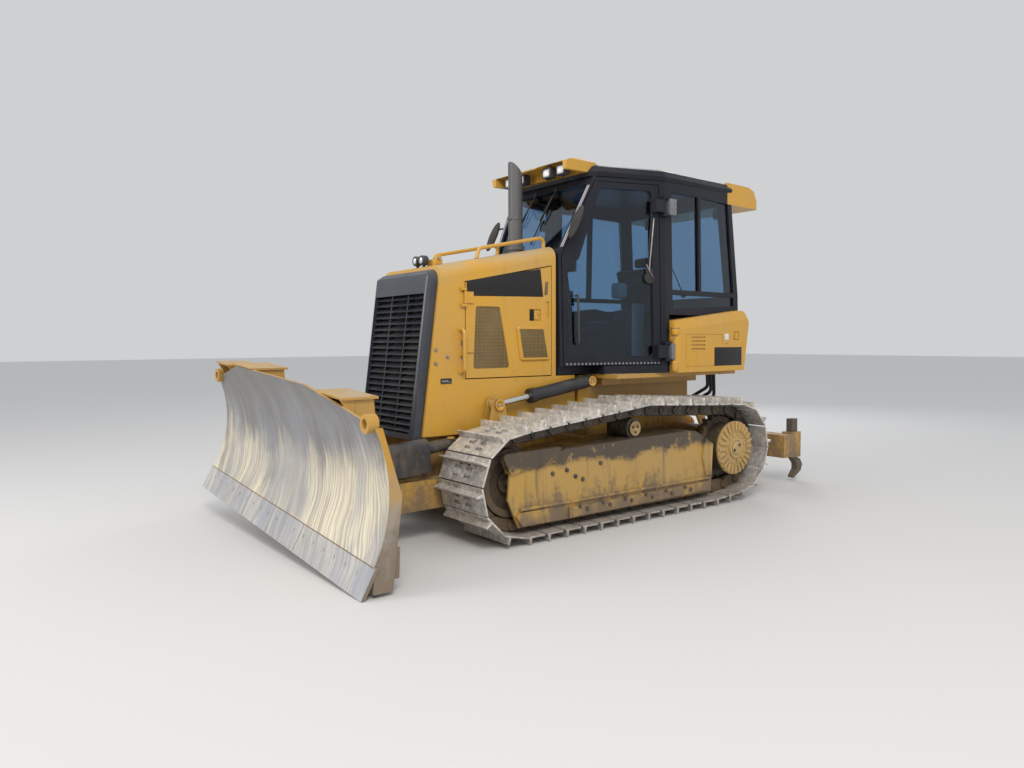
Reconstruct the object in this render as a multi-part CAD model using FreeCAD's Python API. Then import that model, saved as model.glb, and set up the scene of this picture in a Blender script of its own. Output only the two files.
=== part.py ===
# Track-type dozer with an angling and tilting blade, an enclosed cab and a rear ripper.
# Millimetres. X points forward, Y to the machine's left and Z up.
# The origin lies on the ground, on the centreline, midway between blade and ripper.
import FreeCAD, Part
import math
import os

os.makedirs("parts", exist_ok=True)

Vector = FreeCAD.Vector

# Running gear
track_gauge = 1600
shoe_width = 510
shoe_plate = 12
grouser_height = 48
shoe_count = 40
link_height = 100
rail_spacing = 130
rail_width = 34
sprocket_x = -1180
sprocket_z = 445
sprocket_pitch_radius = 313
sprocket_teeth = 23
sprocket_width = 56
sprocket_tooth = 34
drive_radius = 224
drive_face_y = 984
drive_rib_count = 24
drive_rib_inner = 150
drive_rib_width = 18
drive_rib_height = 16
drive_hub_radius = 84
idler_x = 1130
idler_pitch_radius = 290
idler_width = 84
carrier_x = -60
carrier_z = 680
roller_radius = 85
roller_count = 7
roller_first_x = -840
roller_last_x = 820
roller_running_gap = 4
roller_half = 95
carrier_inner = 92
carrier_reach = 86
axle_radius = 30

# Track roller frame
frame_inner_y = 640
frame_outer_y = 955
guard_plate = 17
guard_low_z = 108
ledge_z = 222

# Hull and hood
hull_half_width = 330
hull_floor_z = 330
hull_top_z = 690
case_rear_x = -1350
case_top_z = 1050
platform_half = 700
hood_half_width = 415
hood_wall = 25
hood_shoulder = 95
hood_rear_x = 318
hood_front_x = 1372
hood_rear_top = 2080
hood_front_top = 1876
door_seam_x = 1160
door_sill_z = 1085
panel_gap = 8
nose_lean = 0.135
nose_foot_x = 1522
nose_foot_z = 680
nose_top_z = 1800
grille_frame_depth = 78
grille_half_width = 392
louvre_rows = 22
grille_band = 112
nose_corner = 42
stripe_depth = 2
latch_recess = 9
handle_radius = 13
handle_reach = 52

# Cab
cab_floor_z = 1085
corner_floor_z = 1148
corner_half = 416
corner_x = -60
cab_wall = 45
cab_roof_z = 2640
cab_front_x = 300
cab_front_half = 450
cab_post_x = -600
cab_post_half = 735
cab_rear_x = -1600
cab_rear_half = 705
cab_side_lean = 0.026
sill_z = 2020
windscreen_lean = 0.483
belt_z = 1560
rear_well_x = -1440
rear_well_half = 560
glass_setback = 16
glass_thickness = 7
roof_height = 100
door_gap = 7
door_hinge_x = -575
door_hinge_y = 754
door_hinge_heights = (1260, 2430)
hinge_pin_radius = 8
engine_hinge_x = 1168
engine_hinge_y = 427
engine_hinge_heights = (1310, 1660)

# Side boxes behind the cab door
box_outer_y = 802
box_front_x = -652
box_rear_x = -1612
box_corner = 52
box_crease_z = 1432
box_upper_lean = 14
hose_radius = 15
hose_bend = 62
hose_spacing = 46

# Blade frame
pivot_x = -60
pivot_z = 330
arm_inner_y = 423
arm_outer_y = 532
arm_low_z = 215
arm_high_z = 415
crossbeam_rear_x = 1800
crossbeam_front_x = 1960
swivel_x = 2080
swivel_z = 310
post_radius = 45
tower_top_z = 800

# Blade
blade_half_width = 1391
blade_top_half_width = 1313
blade_shoulder_y = 600
blade_height = 1045
blade_end_height = 890
blade_edge_x = 2480
blade_plate = 20
blade_foot_setback = 70
blade_hollow = 178
blade_hollow_z = 520
blade_top_setback = 8
blade_rest_tilt = 4.0
edge_height = 165
edge_thickness = 25
edge_lean = 0.483
ground_gap = 2
end_plate = 16
rib_plate = 20
rib_rear_x = 2190
rib_inner_gap = 108
rib_outer_gap = 152
cap_plate = 14
cap_wall = 16
cap_foot_height = 640
socket_half = 100
socket_rear_x = 2170
swivel_pin_front = 2252
tilt_ear_plate = 12

# Places where other things are fastened
drawbar_x = -1490
drawbar_plate = 42
drawbar_hole_radius = 22
lifting_eye_inset = 62
lifting_eye_x = 2376
lifting_eye_height = 908
lifting_eye_radius = 28
lifting_eye_wall = 24
lifting_eye_length = 62

# Hydraulic cylinders
pin_clearance = 0.5
seat_gap = 0.3
cylinder_play = 6
lift_y = 478
lift_base = (30, 1030)
lift_pin_radius = 28
lift_eye = (950, 890)
angle_base = (1330, 473, 640)
angle_eye = (2196, 547, 575)
tilt_base = (2080, 0, 895)
tilt_eye = (2080, -430, 900)
ripper_base = (-1425, 830)
ripper_eye = (-1959, 381)

# Ripper
ripper_pivot = (-1400, 420)
ripper_link_pivot = (-1400, 690)
ripper_arm_pin = (-2055, 340)
ripper_link_pin = (-2055, 610)
ripper_arm_y = 250
ripper_link_y = 165
beam_half_width = 855
beam_depth = 165
beam_height = 211
shank_spacing = 780
shank_tip_z = 32


def box(x0, x1, y0, y1, z0, z1):
    return Part.makeBox(x1 - x0, y1 - y0, z1 - z0, Vector(x0, y0, z0))


def prism(corners, along):
    wire = Part.makePolygon(corners + [corners[0]])
    return Part.Face(wire).extrude(along)


def side_plate(outline, y0, y1):
    # outline holds (x, z) corners
    return prism([Vector(x, y0, z) for x, z in outline], Vector(0, y1 - y0, 0))


def plan_plate(outline, z0, z1):
    # outline holds (x, y) corners
    return prism([Vector(x, y, z0) for x, y in outline], Vector(0, 0, z1 - z0))


def front_plate(outline, x0, x1):
    # outline holds (y, z) corners
    return prism([Vector(x0, y, z) for y, z in outline], Vector(x1 - x0, 0, 0))


def bar(start, end, radius):
    start = Vector(*start)
    run = Vector(*end) - start
    return Part.makeCylinder(radius, run.Length, start, run)


def cross_bar(x, z, y0, y1, radius):
    return bar((x, y0, z), (x, y1, z), radius)


def fuse(shapes):
    return shapes[0].fuse(shapes[1:]).removeSplitter()


def rounded(shape, radius, along):
    # rounds every straight edge that runs along the given axis
    edges = []
    for edge in shape.Edges:
        ends = [vertex.Point for vertex in edge.Vertexes]
        if len(ends) == 2 and abs((ends[1] - ends[0]).normalize().dot(along)) > 0.999:
            edges.append(edge)
    return shape.makeFillet(radius, edges)


across = Vector(0, 1, 0)


def mirrored(shape):
    return shape.mirror(Vector(0, 0, 0), Vector(0, 1, 0))


def both_sides(shape):
    return Part.makeCompound([shape, mirrored(shape)])


def save(name, shape):
    shape.exportStep("parts/" + name + ".step")


# Track loop: the chain's pin line runs round five wheels, then shoes stand on it
pin_to_plate = link_height / 2
ground_pin_z = grouser_height + shoe_plate + pin_to_plate
idler_z = ground_pin_z + idler_pitch_radius
roller_z = ground_pin_z + pin_to_plate + roller_radius
track_y = track_gauge / 2
track_inner_y = track_y - shoe_width / 2
track_outer_y = track_y + shoe_width / 2


def loop_wheels():
    # each wheel is (x, z, radius of the pin line round it), clockwise seen from the left
    small = roller_radius + pin_to_plate
    return [
        (sprocket_x, sprocket_z, sprocket_pitch_radius),
        (carrier_x, carrier_z, small),
        (idler_x, idler_z, idler_pitch_radius),
        (roller_last_x, roller_z, small),
        (roller_first_x, roller_z, small),
    ]


def loop_pieces(wheels):
    count = len(wheels)
    tangents = []
    for i in range(count):
        x1, z1, r1 = wheels[i]
        x2, z2, r2 = wheels[(i + 1) % count]
        run = math.hypot(x2 - x1, z2 - z1)
        ux, uz = (x2 - x1) / run, (z2 - z1) / run
        lean = (r1 - r2) / run
        rise = math.sqrt(1 - lean * lean)
        nx, nz = ux * lean - uz * rise, uz * lean + ux * rise
        start = (x1 + r1 * nx, z1 + r1 * nz)
        end = (x2 + r2 * nx, z2 + r2 * nz)
        tangents.append((start, end, math.atan2(nz, nx)))
    pieces = []
    for i in range(count):
        start, end, angle = tangents[i]
        wheel = wheels[(i + 1) % count]
        turn = (angle - tangents[(i + 1) % count][2]) % (2 * math.pi)
        length = math.hypot(end[0] - start[0], end[1] - start[1])
        pieces.append((length, start, end, wheel, angle, turn))
    return pieces


def loop_length(pieces):
    return sum(piece[0] + piece[3][2] * piece[5] for piece in pieces)


def loop_point(pieces, distance):
    for length, start, end, wheel, angle, turn in pieces:
        if distance <= length:
            share = distance / length
            return start[0] + (end[0] - start[0]) * share, start[1] + (end[1] - start[1]) * share
        distance -= length
        arc = wheel[2] * turn
        if distance <= arc:
            here = angle - distance / wheel[2]
            return wheel[0] + wheel[2] * math.cos(here), wheel[1] + wheel[2] * math.sin(here)
        distance -= arc
    return loop_point(pieces, 0)


chain_pieces = loop_pieces(loop_wheels())
shoe_pitch = loop_length(chain_pieces) / shoe_count
chain_joints = [loop_point(chain_pieces, i * shoe_pitch) for i in range(shoe_count)]


def joint_ring(offset):
    # the pin line moved outwards by offset at every joint
    ring = []
    for i in range(shoe_count):
        x0, z0 = chain_joints[i - 1]
        x1, z1 = chain_joints[(i + 1) % shoe_count]
        run = math.hypot(x1 - x0, z1 - z0)
        x, z = chain_joints[i]
        ring.append((x - (z1 - z0) / run * offset, z + (x1 - x0) / run * offset))
    return ring


def shoe_ring():
    # columns: share of the shoe's length, share of the grouser's height
    profile = ((0.02, 0), (0.10, 0), (0.13, 1), (0.20, 1), (0.26, 0), (0.98, 0))
    ring = []
    for i in range(shoe_count):
        x0, z0 = chain_joints[i]
        x1, z1 = chain_joints[(i + 1) % shoe_count]
        run = math.hypot(x1 - x0, z1 - z0)
        ux, uz = (x1 - x0) / run, (z1 - z0) / run
        for along, height in profile:
            out = pin_to_plate + shoe_plate + grouser_height * height
            ring.append((x0 + ux * run * along - uz * out, z0 + uz * run * along + ux * out))
    return ring


def track():
    shoes = side_plate(shoe_ring(), track_inner_y, track_outer_y)
    shoes = shoes.cut(side_plate(joint_ring(pin_to_plate), track_inner_y - 1, track_outer_y + 1))
    rails = []
    for centre in (track_y - rail_spacing / 2, track_y + rail_spacing / 2):
        y0, y1 = centre - rail_width / 2, centre + rail_width / 2
        rail = side_plate(joint_ring(pin_to_plate + shoe_plate / 2), y0, y1)
        rails.append(rail.cut(side_plate(joint_ring(-pin_to_plate), y0 - 1, y1 + 1)))
    return shoes.fuse(rails)


def tread_radius(pitch_radius):
    # the rails are straight between joints, so a wheel fits inside their middles
    half_turn = math.asin(shoe_pitch / 2 / pitch_radius)
    return (pitch_radius - pin_to_plate) * math.cos(half_turn) - seat_gap


def sprocket():
    root = tread_radius(sprocket_pitch_radius)
    tip = root + sprocket_tooth
    ring = []
    for tooth in range(sprocket_teeth):
        # columns: share of a tooth's pitch, radius
        for share, radius in ((0.0, root), (0.3, root), (0.45, tip), (0.6, tip), (0.75, root)):
            angle = 2 * math.pi * (tooth + share) / sprocket_teeth
            ring.append((sprocket_x + radius * math.cos(angle), sprocket_z + radius * math.sin(angle)))
    teeth = side_plate(ring, track_y - sprocket_width / 2, track_y + sprocket_width / 2)
    return teeth.fuse(drive_housing())


def drive_housing():
    # the final drive's round case, with ribs round its cover and a ring in the middle
    face = drive_face_y
    shapes = [cross_bar(sprocket_x, sprocket_z, face - 284, face - 16, drive_radius - 20),
              cross_bar(sprocket_x, sprocket_z, face - 16, face, drive_radius)]
    rib = box(drive_rib_inner, drive_radius - 5, -drive_rib_width / 2, drive_rib_width / 2, -2, drive_rib_height)
    for i in range(drive_rib_count):
        turned = rib.copy()
        turned.rotate(Vector(0, 0, 0), Vector(0, 0, 1), 360 * i / drive_rib_count)
        turned.Placement = FreeCAD.Placement(Vector(sprocket_x, face, sprocket_z),
                                             FreeCAD.Rotation(Vector(1, 0, 0), -90)).multiply(turned.Placement)
        shapes.append(turned)
    shapes.append(cross_bar(sprocket_x, sprocket_z, face - 2, face + drive_rib_height + 4, drive_hub_radius))
    recess = cross_bar(sprocket_x, sprocket_z, face + drive_rib_height - 4, face + drive_rib_height + 5,
                       drive_hub_radius - 20)
    return fuse(shapes).cut(recess)


def idler():
    rim = tread_radius(idler_pitch_radius)
    half = idler_width / 2
    profile = [
        (0, -half - 12), (75, -half - 12), (75, -30), (rim - 45, -22), (rim - 45, -half - 55),
        (rim, -half - 55), (rim, -half + 8), (rim + 22, -half + 14), (rim + 22, half - 14),
        (rim, half - 8), (rim, half + 55), (rim - 45, half + 55), (rim - 45, 22), (75, 30),
        (75, half + 12), (0, half + 12),
    ]
    corners = [Vector(idler_x + r, track_y + y, idler_z) for r, y in profile]
    face = Part.Face(Part.makePolygon(corners + [corners[0]]))
    wheel = face.revolve(Vector(idler_x, track_y, idler_z), Vector(0, 1, 0), 360)
    axle = cross_bar(idler_x, idler_z, frame_inner_y, frame_outer_y, axle_radius + 8)
    return wheel.fuse(axle)


def rollers():
    shapes = []
    step = (roller_last_x - roller_first_x) / (roller_count - 1)
    tread_radius_here = roller_radius - roller_running_gap
    for i in range(roller_count):
        x = roller_first_x + i * step
        tread = cross_bar(x, roller_z, track_y - roller_half, track_y + roller_half, tread_radius_here)
        pin = cross_bar(x, roller_z, frame_inner_y, frame_outer_y, axle_radius)
        shapes.append(tread.fuse(pin))
    carrier_end = track_y + carrier_reach
    carrier = cross_bar(carrier_x, carrier_z, track_y - carrier_inner, carrier_end, tread_radius_here)
    cap = cross_bar(carrier_x, carrier_z, carrier_end, carrier_end + 14, tread_radius_here - 22)
    recess = cross_bar(carrier_x, carrier_z, carrier_end + 8, carrier_end + 15, tread_radius_here - 44)
    shapes.append(carrier.fuse(cap).cut(recess))
    return shapes


def track_frame():
    beam_outline = [
        (-850, 345), (-850, 520), (-690, 618), (-560, 628), (700, 600), (860, 565), (860, 345),
    ]
    beam = side_plate(beam_outline, frame_inner_y, frame_outer_y)
    beam = beam.cut(cross_bar(carrier_x, carrier_z, track_y - carrier_inner, track_y + carrier_reach + 20,
                              roller_radius + 12))
    guard_outline = [
        (-908, 500), (-880, guard_low_z), (1130, guard_low_z), (1215, 300), (1200, 470),
        (885, 560), (700, 600), (-560, 628), (-690, 618),
    ]
    outer_face = frame_outer_y + guard_plate
    outer = side_plate(guard_outline, frame_outer_y, outer_face)
    inner = side_plate(guard_outline, frame_inner_y - guard_plate, frame_inner_y)
    ledge = box(-860, 1120, outer_face, outer_face + guard_plate, ledge_z, ledge_z + guard_plate)
    low_rail = side_plate([(-840, guard_low_z + 22), (690, guard_low_z + 8), (690, ledge_z - 34), (-840, ledge_z - 20)],
                          outer_face, outer_face + 22)
    front_block = side_plate([(850, guard_low_z + 10), (1110, guard_low_z + 10), (1160, 190), (1130, ledge_z - 12),
                              (850, ledge_z - 12)], outer_face, outer_face + 22)
    rear_block = side_plate([(-872, 250), (-800, 250), (-760, 400), (-790, 560), (-880, 500)],
                            outer_face, outer_face + guard_plate)
    cap_outline = [(800, 520), (1020, 505), (1200, 470), (1262, 590), (1240, 612), (760, 622)]
    idler_cap = side_plate(cap_outline, frame_outer_y - 25, frame_outer_y + 2 * guard_plate)
    idler_cap = rounded(idler_cap, 12, across)
    carrier_post = box(carrier_x - 45, carrier_x + 45, frame_inner_y, track_y - carrier_inner, 600, carrier_z + 45)
    return fuse([beam, outer, inner, ledge, low_rail, front_block, rear_block, idler_cap, carrier_post])


def main_frame():
    hull = side_plate([(-1330, 420), (-1240, hull_floor_z), (1400, hull_floor_z), (1480, 430),
                       (1480, hull_top_z), (-1330, hull_top_z)], -hull_half_width, hull_half_width)
    case = box(case_rear_x, -100, -hull_half_width, hull_half_width, hull_top_z, case_top_z)
    shapes = [hull, case]
    for side in (1, -1):
        ear = side_plate([(-1280, 350), (-1280, 560), (-1340, 560), (-1420, 500), (-1450, 420), (-1430, 370)], 0, 30)
        for offset in (-62, 32):
            placed = ear.copy()
            placed.translate(Vector(0, ripper_arm_y * side + offset, 0))
            shapes.append(placed)
    shapes.append(cross_bar(*ripper_pivot, -ripper_arm_y - 62, ripper_arm_y + 62, 28))
    shapes.append(cross_bar(*ripper_link_pivot, -ripper_link_y - 40, ripper_link_y + 40, 24))
    for y in (-ripper_link_y + 30, ripper_link_y - 50):
        shapes.append(side_plate([(-1320, 640), (-1320, 740), (-1440, 730), (-1440, 650)], y, y + 20))
    for y in (-84, 66):
        shapes.append(side_plate([(-1340, 770), (-1340, 900), (-1440, 890), (-1470, 830), (-1440, 780)],
                                 y, y + 18))
    shapes.append(cross_bar(*ripper_base, -88, 88, 24))
    top = hull_floor_z + drawbar_plate
    tongue = plan_plate([(-1180, -110), (-1180, 110), (drawbar_x, 62), (drawbar_x, -62)], hull_floor_z, top)
    shapes.append(tongue.fuse(bar((drawbar_x, 0, hull_floor_z), (drawbar_x, 0, top), 62)))
    hole = bar((drawbar_x, 0, hull_floor_z - 5), (drawbar_x, 0, top + 5), drawbar_hole_radius)
    return fuse(shapes).cut(hole)


def cross_members():
    # what carries one track frame: drive housing, rear and front crossbars and the push frame's pivot
    inner = hull_half_width
    frame_y = frame_inner_y - guard_plate
    housing = cross_bar(sprocket_x, sprocket_z, inner, drive_face_y - 284, 168)
    rear_bar = cross_bar(-560, 480, inner, frame_y, 72)
    collar = cross_bar(pivot_x, pivot_z, inner, arm_inner_y - 8, 80)
    pivot = cross_bar(pivot_x, pivot_z, inner, arm_outer_y + 3, post_radius)
    front_bar = box(150, 270, inner, frame_y, 541, 615)
    return Part.makeCompound([housing, rear_bar, collar.fuse(pivot), front_bar])


def platform():
    # the plate that the cab and the tanks stand on, with a beam under each side
    top = cab_floor_z - seat_gap
    plate = box(-1560, -70, -platform_half, platform_half, case_top_z, top)
    beam = box(-1290, -120, hull_half_width + 70, hull_half_width + 150, case_top_z - 60, case_top_z + 5)
    return fuse([plate, beam, mirrored(beam)])


def lift_brackets():
    x, z = lift_base
    ear_y = lift_y - 50 - cylinder_play
    bracket = side_plate([(x - 70, 640), (x + 68, 640), (x + 62, z), (x + 30, z + 40), (x - 40, z + 42),
                          (x - 70, z)], hull_half_width, ear_y)
    pin = cross_bar(x, z, hull_half_width, lift_y + 44, lift_pin_radius)
    return bracket.fuse(pin)


def hoses():
    # three lines from the platform's underside to the back of the case, trimmed flush with both
    shapes = []
    spare = 20
    above = box(-1700, case_rear_x, 300, 700, case_top_z, case_top_z + 2 * spare)
    ahead = box(case_rear_x, case_rear_x + 2 * spare, 150, 400, 500, case_top_z)
    for i in range(3):
        x = -1420 - hose_spacing * i
        drop = case_top_z - 235 - hose_spacing * i
        inside = 285 - 6 * i
        route = [(x, 500, case_top_z + spare), (x - 24, 490, drop + 110), (x + 6, inside + 20, drop),
                 (case_rear_x + spare, inside, drop - 20)]
        shapes.append(bent_tube(route, hose_radius, hose_bend).cut([above, ahead]))
    return shapes


def hood_top_z(x):
    share = (x - hood_rear_x) / (hood_front_x - hood_rear_x)
    return hood_rear_top + (hood_front_top - hood_rear_top) * share


def door_top_z(x):
    return hood_top_z(x) - hood_shoulder - 48


def hood_section(x, inset, foot_z):
    half = hood_half_width - inset
    top = hood_top_z(x) - inset
    radius = hood_shoulder
    arcs = radius * math.sqrt(0.5)
    corner = [(half, foot_z), (half, top - radius), (half - radius + arcs, top - radius + arcs),
              (half - radius, top)]
    right = [Vector(x, y, z) for y, z in corner]
    left = [Vector(x, -y, z) for y, z in corner]
    edges = [
        Part.LineSegment(right[0], right[1]), Part.Arc(right[1], right[2], right[3]),
        Part.LineSegment(right[3], left[3]), Part.Arc(left[3], left[2], left[1]),
        Part.LineSegment(left[1], left[0]), Part.LineSegment(left[0], right[0]),
    ]
    return Part.Wire([edge.toShape() for edge in edges])


def slope_along(x0, x1):
    return Vector(x1 - x0, 0, hood_top_z(x1) - hood_top_z(x0))


def hood_form(x0, x1, inset, foot):
    # the hood's outer form from x0 to x1, moved inwards by inset and standing on the height foot
    return Part.Face(hood_section(x0, inset, foot)).extrude(slope_along(x0, x1))


def hood_block():
    return hood_form(hood_rear_x, hood_front_x, 0, hood_front_top - 400)


def hood():
    foot = hood_front_top - 400
    shell = hood_form(hood_rear_x, hood_front_x + 80, 0, foot)
    shell = shell.cut(hood_form(hood_rear_x - 60, hood_front_x + 100, hood_wall, foot - hood_wall))
    rear, front = hood_rear_x - 50, hood_front_x + 130
    below = [(rear, door_top_z(rear)), (front, door_top_z(front)), (front, 0), (rear, 0)]
    shell = shell.cut(side_plate(below, -hood_half_width - 5, hood_half_width + 5))
    lean_plane = Vector(1, 0, nose_lean).normalize()
    shell = trim(shell, Vector(nose_x(nose_top_z), 0, nose_top_z), lean_plane)
    side, low, top = hood_half_width - hood_wall, hood_rear_top - 150, hood_rear_top - hood_wall - 4
    back = front_plate([(-side, 1600), (side, 1600), (side, low), (hood_half_width - 110, top),
                        (-hood_half_width + 110, top), (-side, low)], hood_rear_x, hood_rear_x + 20)
    return fuse([shell, back])


def nose_x(z):
    # front line of the yellow nose plates, leaning back as it rises
    return nose_foot_x - (z - nose_foot_z) * nose_lean


def hood_base():
    inner = hood_half_width - hood_wall
    shapes = [box(120, 1480, -hood_half_width, hood_half_width, hull_top_z, hull_top_z + 20)]
    lower = [(120, hull_top_z), (nose_x(hull_top_z), hull_top_z), (nose_x(door_sill_z), door_sill_z - panel_gap),
             (120, door_sill_z - panel_gap)]
    cheek_x = door_seam_x + panel_gap
    front_x = nose_x(door_top_z(hood_front_x))
    cheek = [(cheek_x, door_sill_z - panel_gap - 2), (nose_x(door_sill_z), door_sill_z - panel_gap - 2),
             (front_x, door_top_z(front_x)), (cheek_x, door_top_z(cheek_x))]
    rear_post = [(hood_rear_x, door_sill_z - panel_gap - 2), (hood_rear_x + 40, door_sill_z - panel_gap - 2),
                 (hood_rear_x + 40, door_top_z(hood_rear_x + 40)), (hood_rear_x, door_top_z(hood_rear_x))]
    for side in (1, -1):
        low, high = sorted((inner * side, hood_half_width * side))
        shapes.append(side_plate(lower, low, high))
        shapes.append(side_plate(cheek, low, high))
        shapes.append(side_plate(rear_post, low, high))
    shapes.append(box(cheek_x, cheek_x + 20, -inner, inner, 1500, 1540))
    for side in (1, -1):
        y = engine_hinge_y * side
        low, high = sorted((y + 9 * side, (hood_half_width - 3) * side))
        for z in engine_hinge_heights:
            shapes.append(bar((engine_hinge_x, y, z - 64), (engine_hinge_x, y, z + 64), hinge_pin_radius - 2))
            shapes.append(box(engine_hinge_x - 6, engine_hinge_x + 40, low, high, z - 66, z - 48))
            shapes.append(box(engine_hinge_x - 6, engine_hinge_x + 40, low, high, z + 48, z + 66))
    return fuse(shapes)


def engine_door():
    inner = hood_half_width - hood_wall
    rear = hood_rear_x + 40 + panel_gap
    outline = [(rear, door_sill_z), (door_seam_x, door_sill_z), (door_seam_x, door_top_z(door_seam_x) - panel_gap),
               (rear, door_top_z(rear) - panel_gap)]
    panel = side_plate(outline, inner, hood_half_width)
    raised = side_plate([(672, 1200), (712, 1462), (432, 1462), (380, 1200)], hood_half_width, hood_half_width + 16)
    raised = rounded(raised, 26, across)
    outer_edges = [edge for edge in raised.Edges if edge.BoundBox.YMin > hood_half_width + 15]
    raised = raised.makeChamfer(9, outer_edges)
    screen = side_plate([(1098, 1150), (1072, 1600), (858, 1600), (770, 1150)],
                        hood_half_width - 8, hood_half_width + 1)
    latch = box(470, 580, hood_half_width - latch_recess, hood_half_width + 1, 1500, 1590)
    latch = latch.cut(box(484, 532, hood_half_width - latch_recess, hood_half_width + 1, 1512, 1578))
    vents = [rounded(side_plate([(416, 1520), (390, 1520), (384, 1650), (418, 1650)], hood_half_width - 10,
                                hood_half_width + 1), 8, across)]
    stripe = side_plate([(door_seam_x - 8, 1668), (door_seam_x - 8, 1792), (468, 1898), (440, 1682)],
                        hood_half_width - stripe_depth, hood_half_width + 1)
    panel = panel.cut([rounded(screen, 24, across), rounded(latch, 5, across), stripe] + vents)
    pieces = [panel, raised]
    holes = []
    for z in engine_hinge_heights:
        pieces.append(box(engine_hinge_x - 70, engine_hinge_x, hood_half_width - 3, engine_hinge_y, z - 40, z + 40))
        pieces.append(bar((engine_hinge_x, engine_hinge_y, z - 44), (engine_hinge_x, engine_hinge_y, z + 44), 11))
        holes.append(bar((engine_hinge_x, engine_hinge_y, z - 50), (engine_hinge_x, engine_hinge_y, z + 50),
                         hinge_pin_radius - 2 + pin_clearance))
    return fuse(pieces).cut(holes)


def nose_form():
    # upright block with rounded front corners that leans back with the nose
    half = grille_half_width
    low, high = nose_foot_z - 20, nose_top_z + 160
    front = nose_x(low) + 1 + grille_frame_depth
    rear = front - 300
    turn = nose_corner * (1 - math.sqrt(0.5))
    edges = []
    for side in (1, -1):
        start = Vector(front, (half - nose_corner) * side, low)
        middle = Vector(front - turn, (half - turn) * side, low)
        end = Vector(front - nose_corner, half * side, low)
        edges.append(Part.Arc(start, middle, end))
        edges.append(Part.LineSegment(end, Vector(rear, half * side, low)))
    edges.append(Part.LineSegment(Vector(front, half - nose_corner, low), Vector(front, nose_corner - half, low)))
    edges.append(Part.LineSegment(Vector(rear, half, low), Vector(rear, -half, low)))
    wire = Part.Wire(Part.__sortEdges__([edge.toShape() for edge in edges]))
    return Part.Face(wire).extrude(Vector(-(high - low) * nose_lean, 0, high - low))


def grille_frame():
    rise = nose_top_z - nose_foot_z
    half = grille_half_width
    low = nose_foot_z - 6
    rear_low, rear_top = nose_x(low) + 1, nose_x(nose_top_z) + 1
    depth = grille_frame_depth
    crown = nose_top_z + 100
    outer = side_plate([(rear_low, low), (rear_low + depth, low), (rear_top + depth, nose_top_z - 14),
                        (rear_top + depth - 8, nose_top_z + 16), (rear_top + depth - 30, nose_top_z + 38),
                        (nose_x(crown) + 1, crown)], -hood_half_width, hood_half_width)
    outer = outer.common(hood_form(hood_rear_x, hood_front_x + 330, hood_half_width - half, 0))
    outer = outer.common(nose_form())
    hole = front_plate([(-half + 38, low + 36), (half - 38, low + 36), (half - 38, low + rise - grille_band),
                        (-half + 38, low + rise - grille_band)], rear_top - 200, rear_low + 200)
    return outer.cut(rounded(hole, 14, Vector(1, 0, 0)))


def grille():
    low = nose_foot_z + 30
    high = nose_top_z - grille_band - 6
    half = grille_half_width - 38
    step = (high - low) / louvre_rows
    shapes = []
    for row in range(louvre_rows):
        z = low + (row + 0.5) * step
        x = nose_x(z) + 22
        louvre = side_plate([(x, z + 14), (x + 44, z - 12), (x + 48, z - 8), (x + 4, z + 18)], -half, half)
        shapes.append(louvre)
    for y in (-half, -half / 3 - 4, half / 3 - 4, half - 8):
        rib = side_plate([(nose_x(low) + 10, low), (nose_x(low) + 62, low), (nose_x(high) + 62, high),
                          (nose_x(high) + 10, high)], y, y + 8)
        shapes.append(rib)
    return fuse(shapes).cut(grille_frame())


def radiator_core():
    low, high = hull_top_z + 60, nose_top_z - 90
    return side_plate([(nose_x(low) - 90, low), (nose_x(low) - 10, low), (nose_x(high) - 10, high),
                       (nose_x(high) - 90, high)], -hood_half_width + hood_wall, hood_half_width - hood_wall)


def engine_block():
    return box(330, 1150, -270, 270, hull_top_z + 20, 1420)


def bent_tube(points, radius, bend):
    # straight runs joined by tangent arcs of one radius
    places = [Vector(*point) for point in points]
    edges = []
    start = places[0]
    for i in range(1, len(places) - 1):
        before = (places[i - 1] - places[i]).normalize()
        after = (places[i + 1] - places[i]).normalize()
        half = before.getAngle(after) / 2
        back = bend / math.tan(half)
        first = places[i] + before * back
        last = places[i] + after * back
        middle = (before + after).normalize()
        centre = places[i] + middle * (bend / math.sin(half))
        edges.append(Part.LineSegment(start, first).toShape())
        edges.append(Part.Arc(first, centre - middle * bend, last).toShape())
        start = last
    edges.append(Part.LineSegment(start, places[-1]).toShape())
    path = Part.Wire(edges)
    circle = Part.Circle(places[0], places[1] - places[0], radius).toShape()
    return path.makePipeShell([Part.Wire(circle)], True, False, 2)


def hood_rails():
    y = 300
    front, rear = 985, 345
    rise = 78
    points = [(front, y, hood_top_z(front)), (front - 25, y, hood_top_z(front) + rise),
              (rear, y, hood_top_z(rear) + rise), (rear, y, hood_top_z(rear) - 5)]
    rail = bent_tube([(x, py, z + 0.2) for x, py, z in points[:-1]] + [points[-1]], 14, 38)
    return rail.cut(hood_block())


def nose_handle():
    # upright grab handle on the nose beside the engine door's seam
    x, low, high = door_seam_x + 46, 1130, 1432
    face, out = hood_half_width + 0.2, hood_half_width + handle_reach
    return bent_tube([(x, face, low), (x, out, low), (x, out, high), (x, face, high)], handle_radius, 34)


def exhaust_stack():
    x, y = 376, -15
    radius = 58
    pipe = bar((x, y, hood_top_z(x) - 40), (x, y, 2800), radius)
    pipe = pipe.cut(bar((x, y, 2500), (x, y, 2810), radius - 5))
    slash = side_plate([(x - 80, 2640), (x + 80, 2805), (x - 80, 2805)], y - 80, y + 80)
    collar = bar((x, y, hood_top_z(x) + 12), (x, y, hood_top_z(x) + 46), radius + 14)
    return fuse([pipe.cut(slash), collar]).cut(hood_block())


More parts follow.
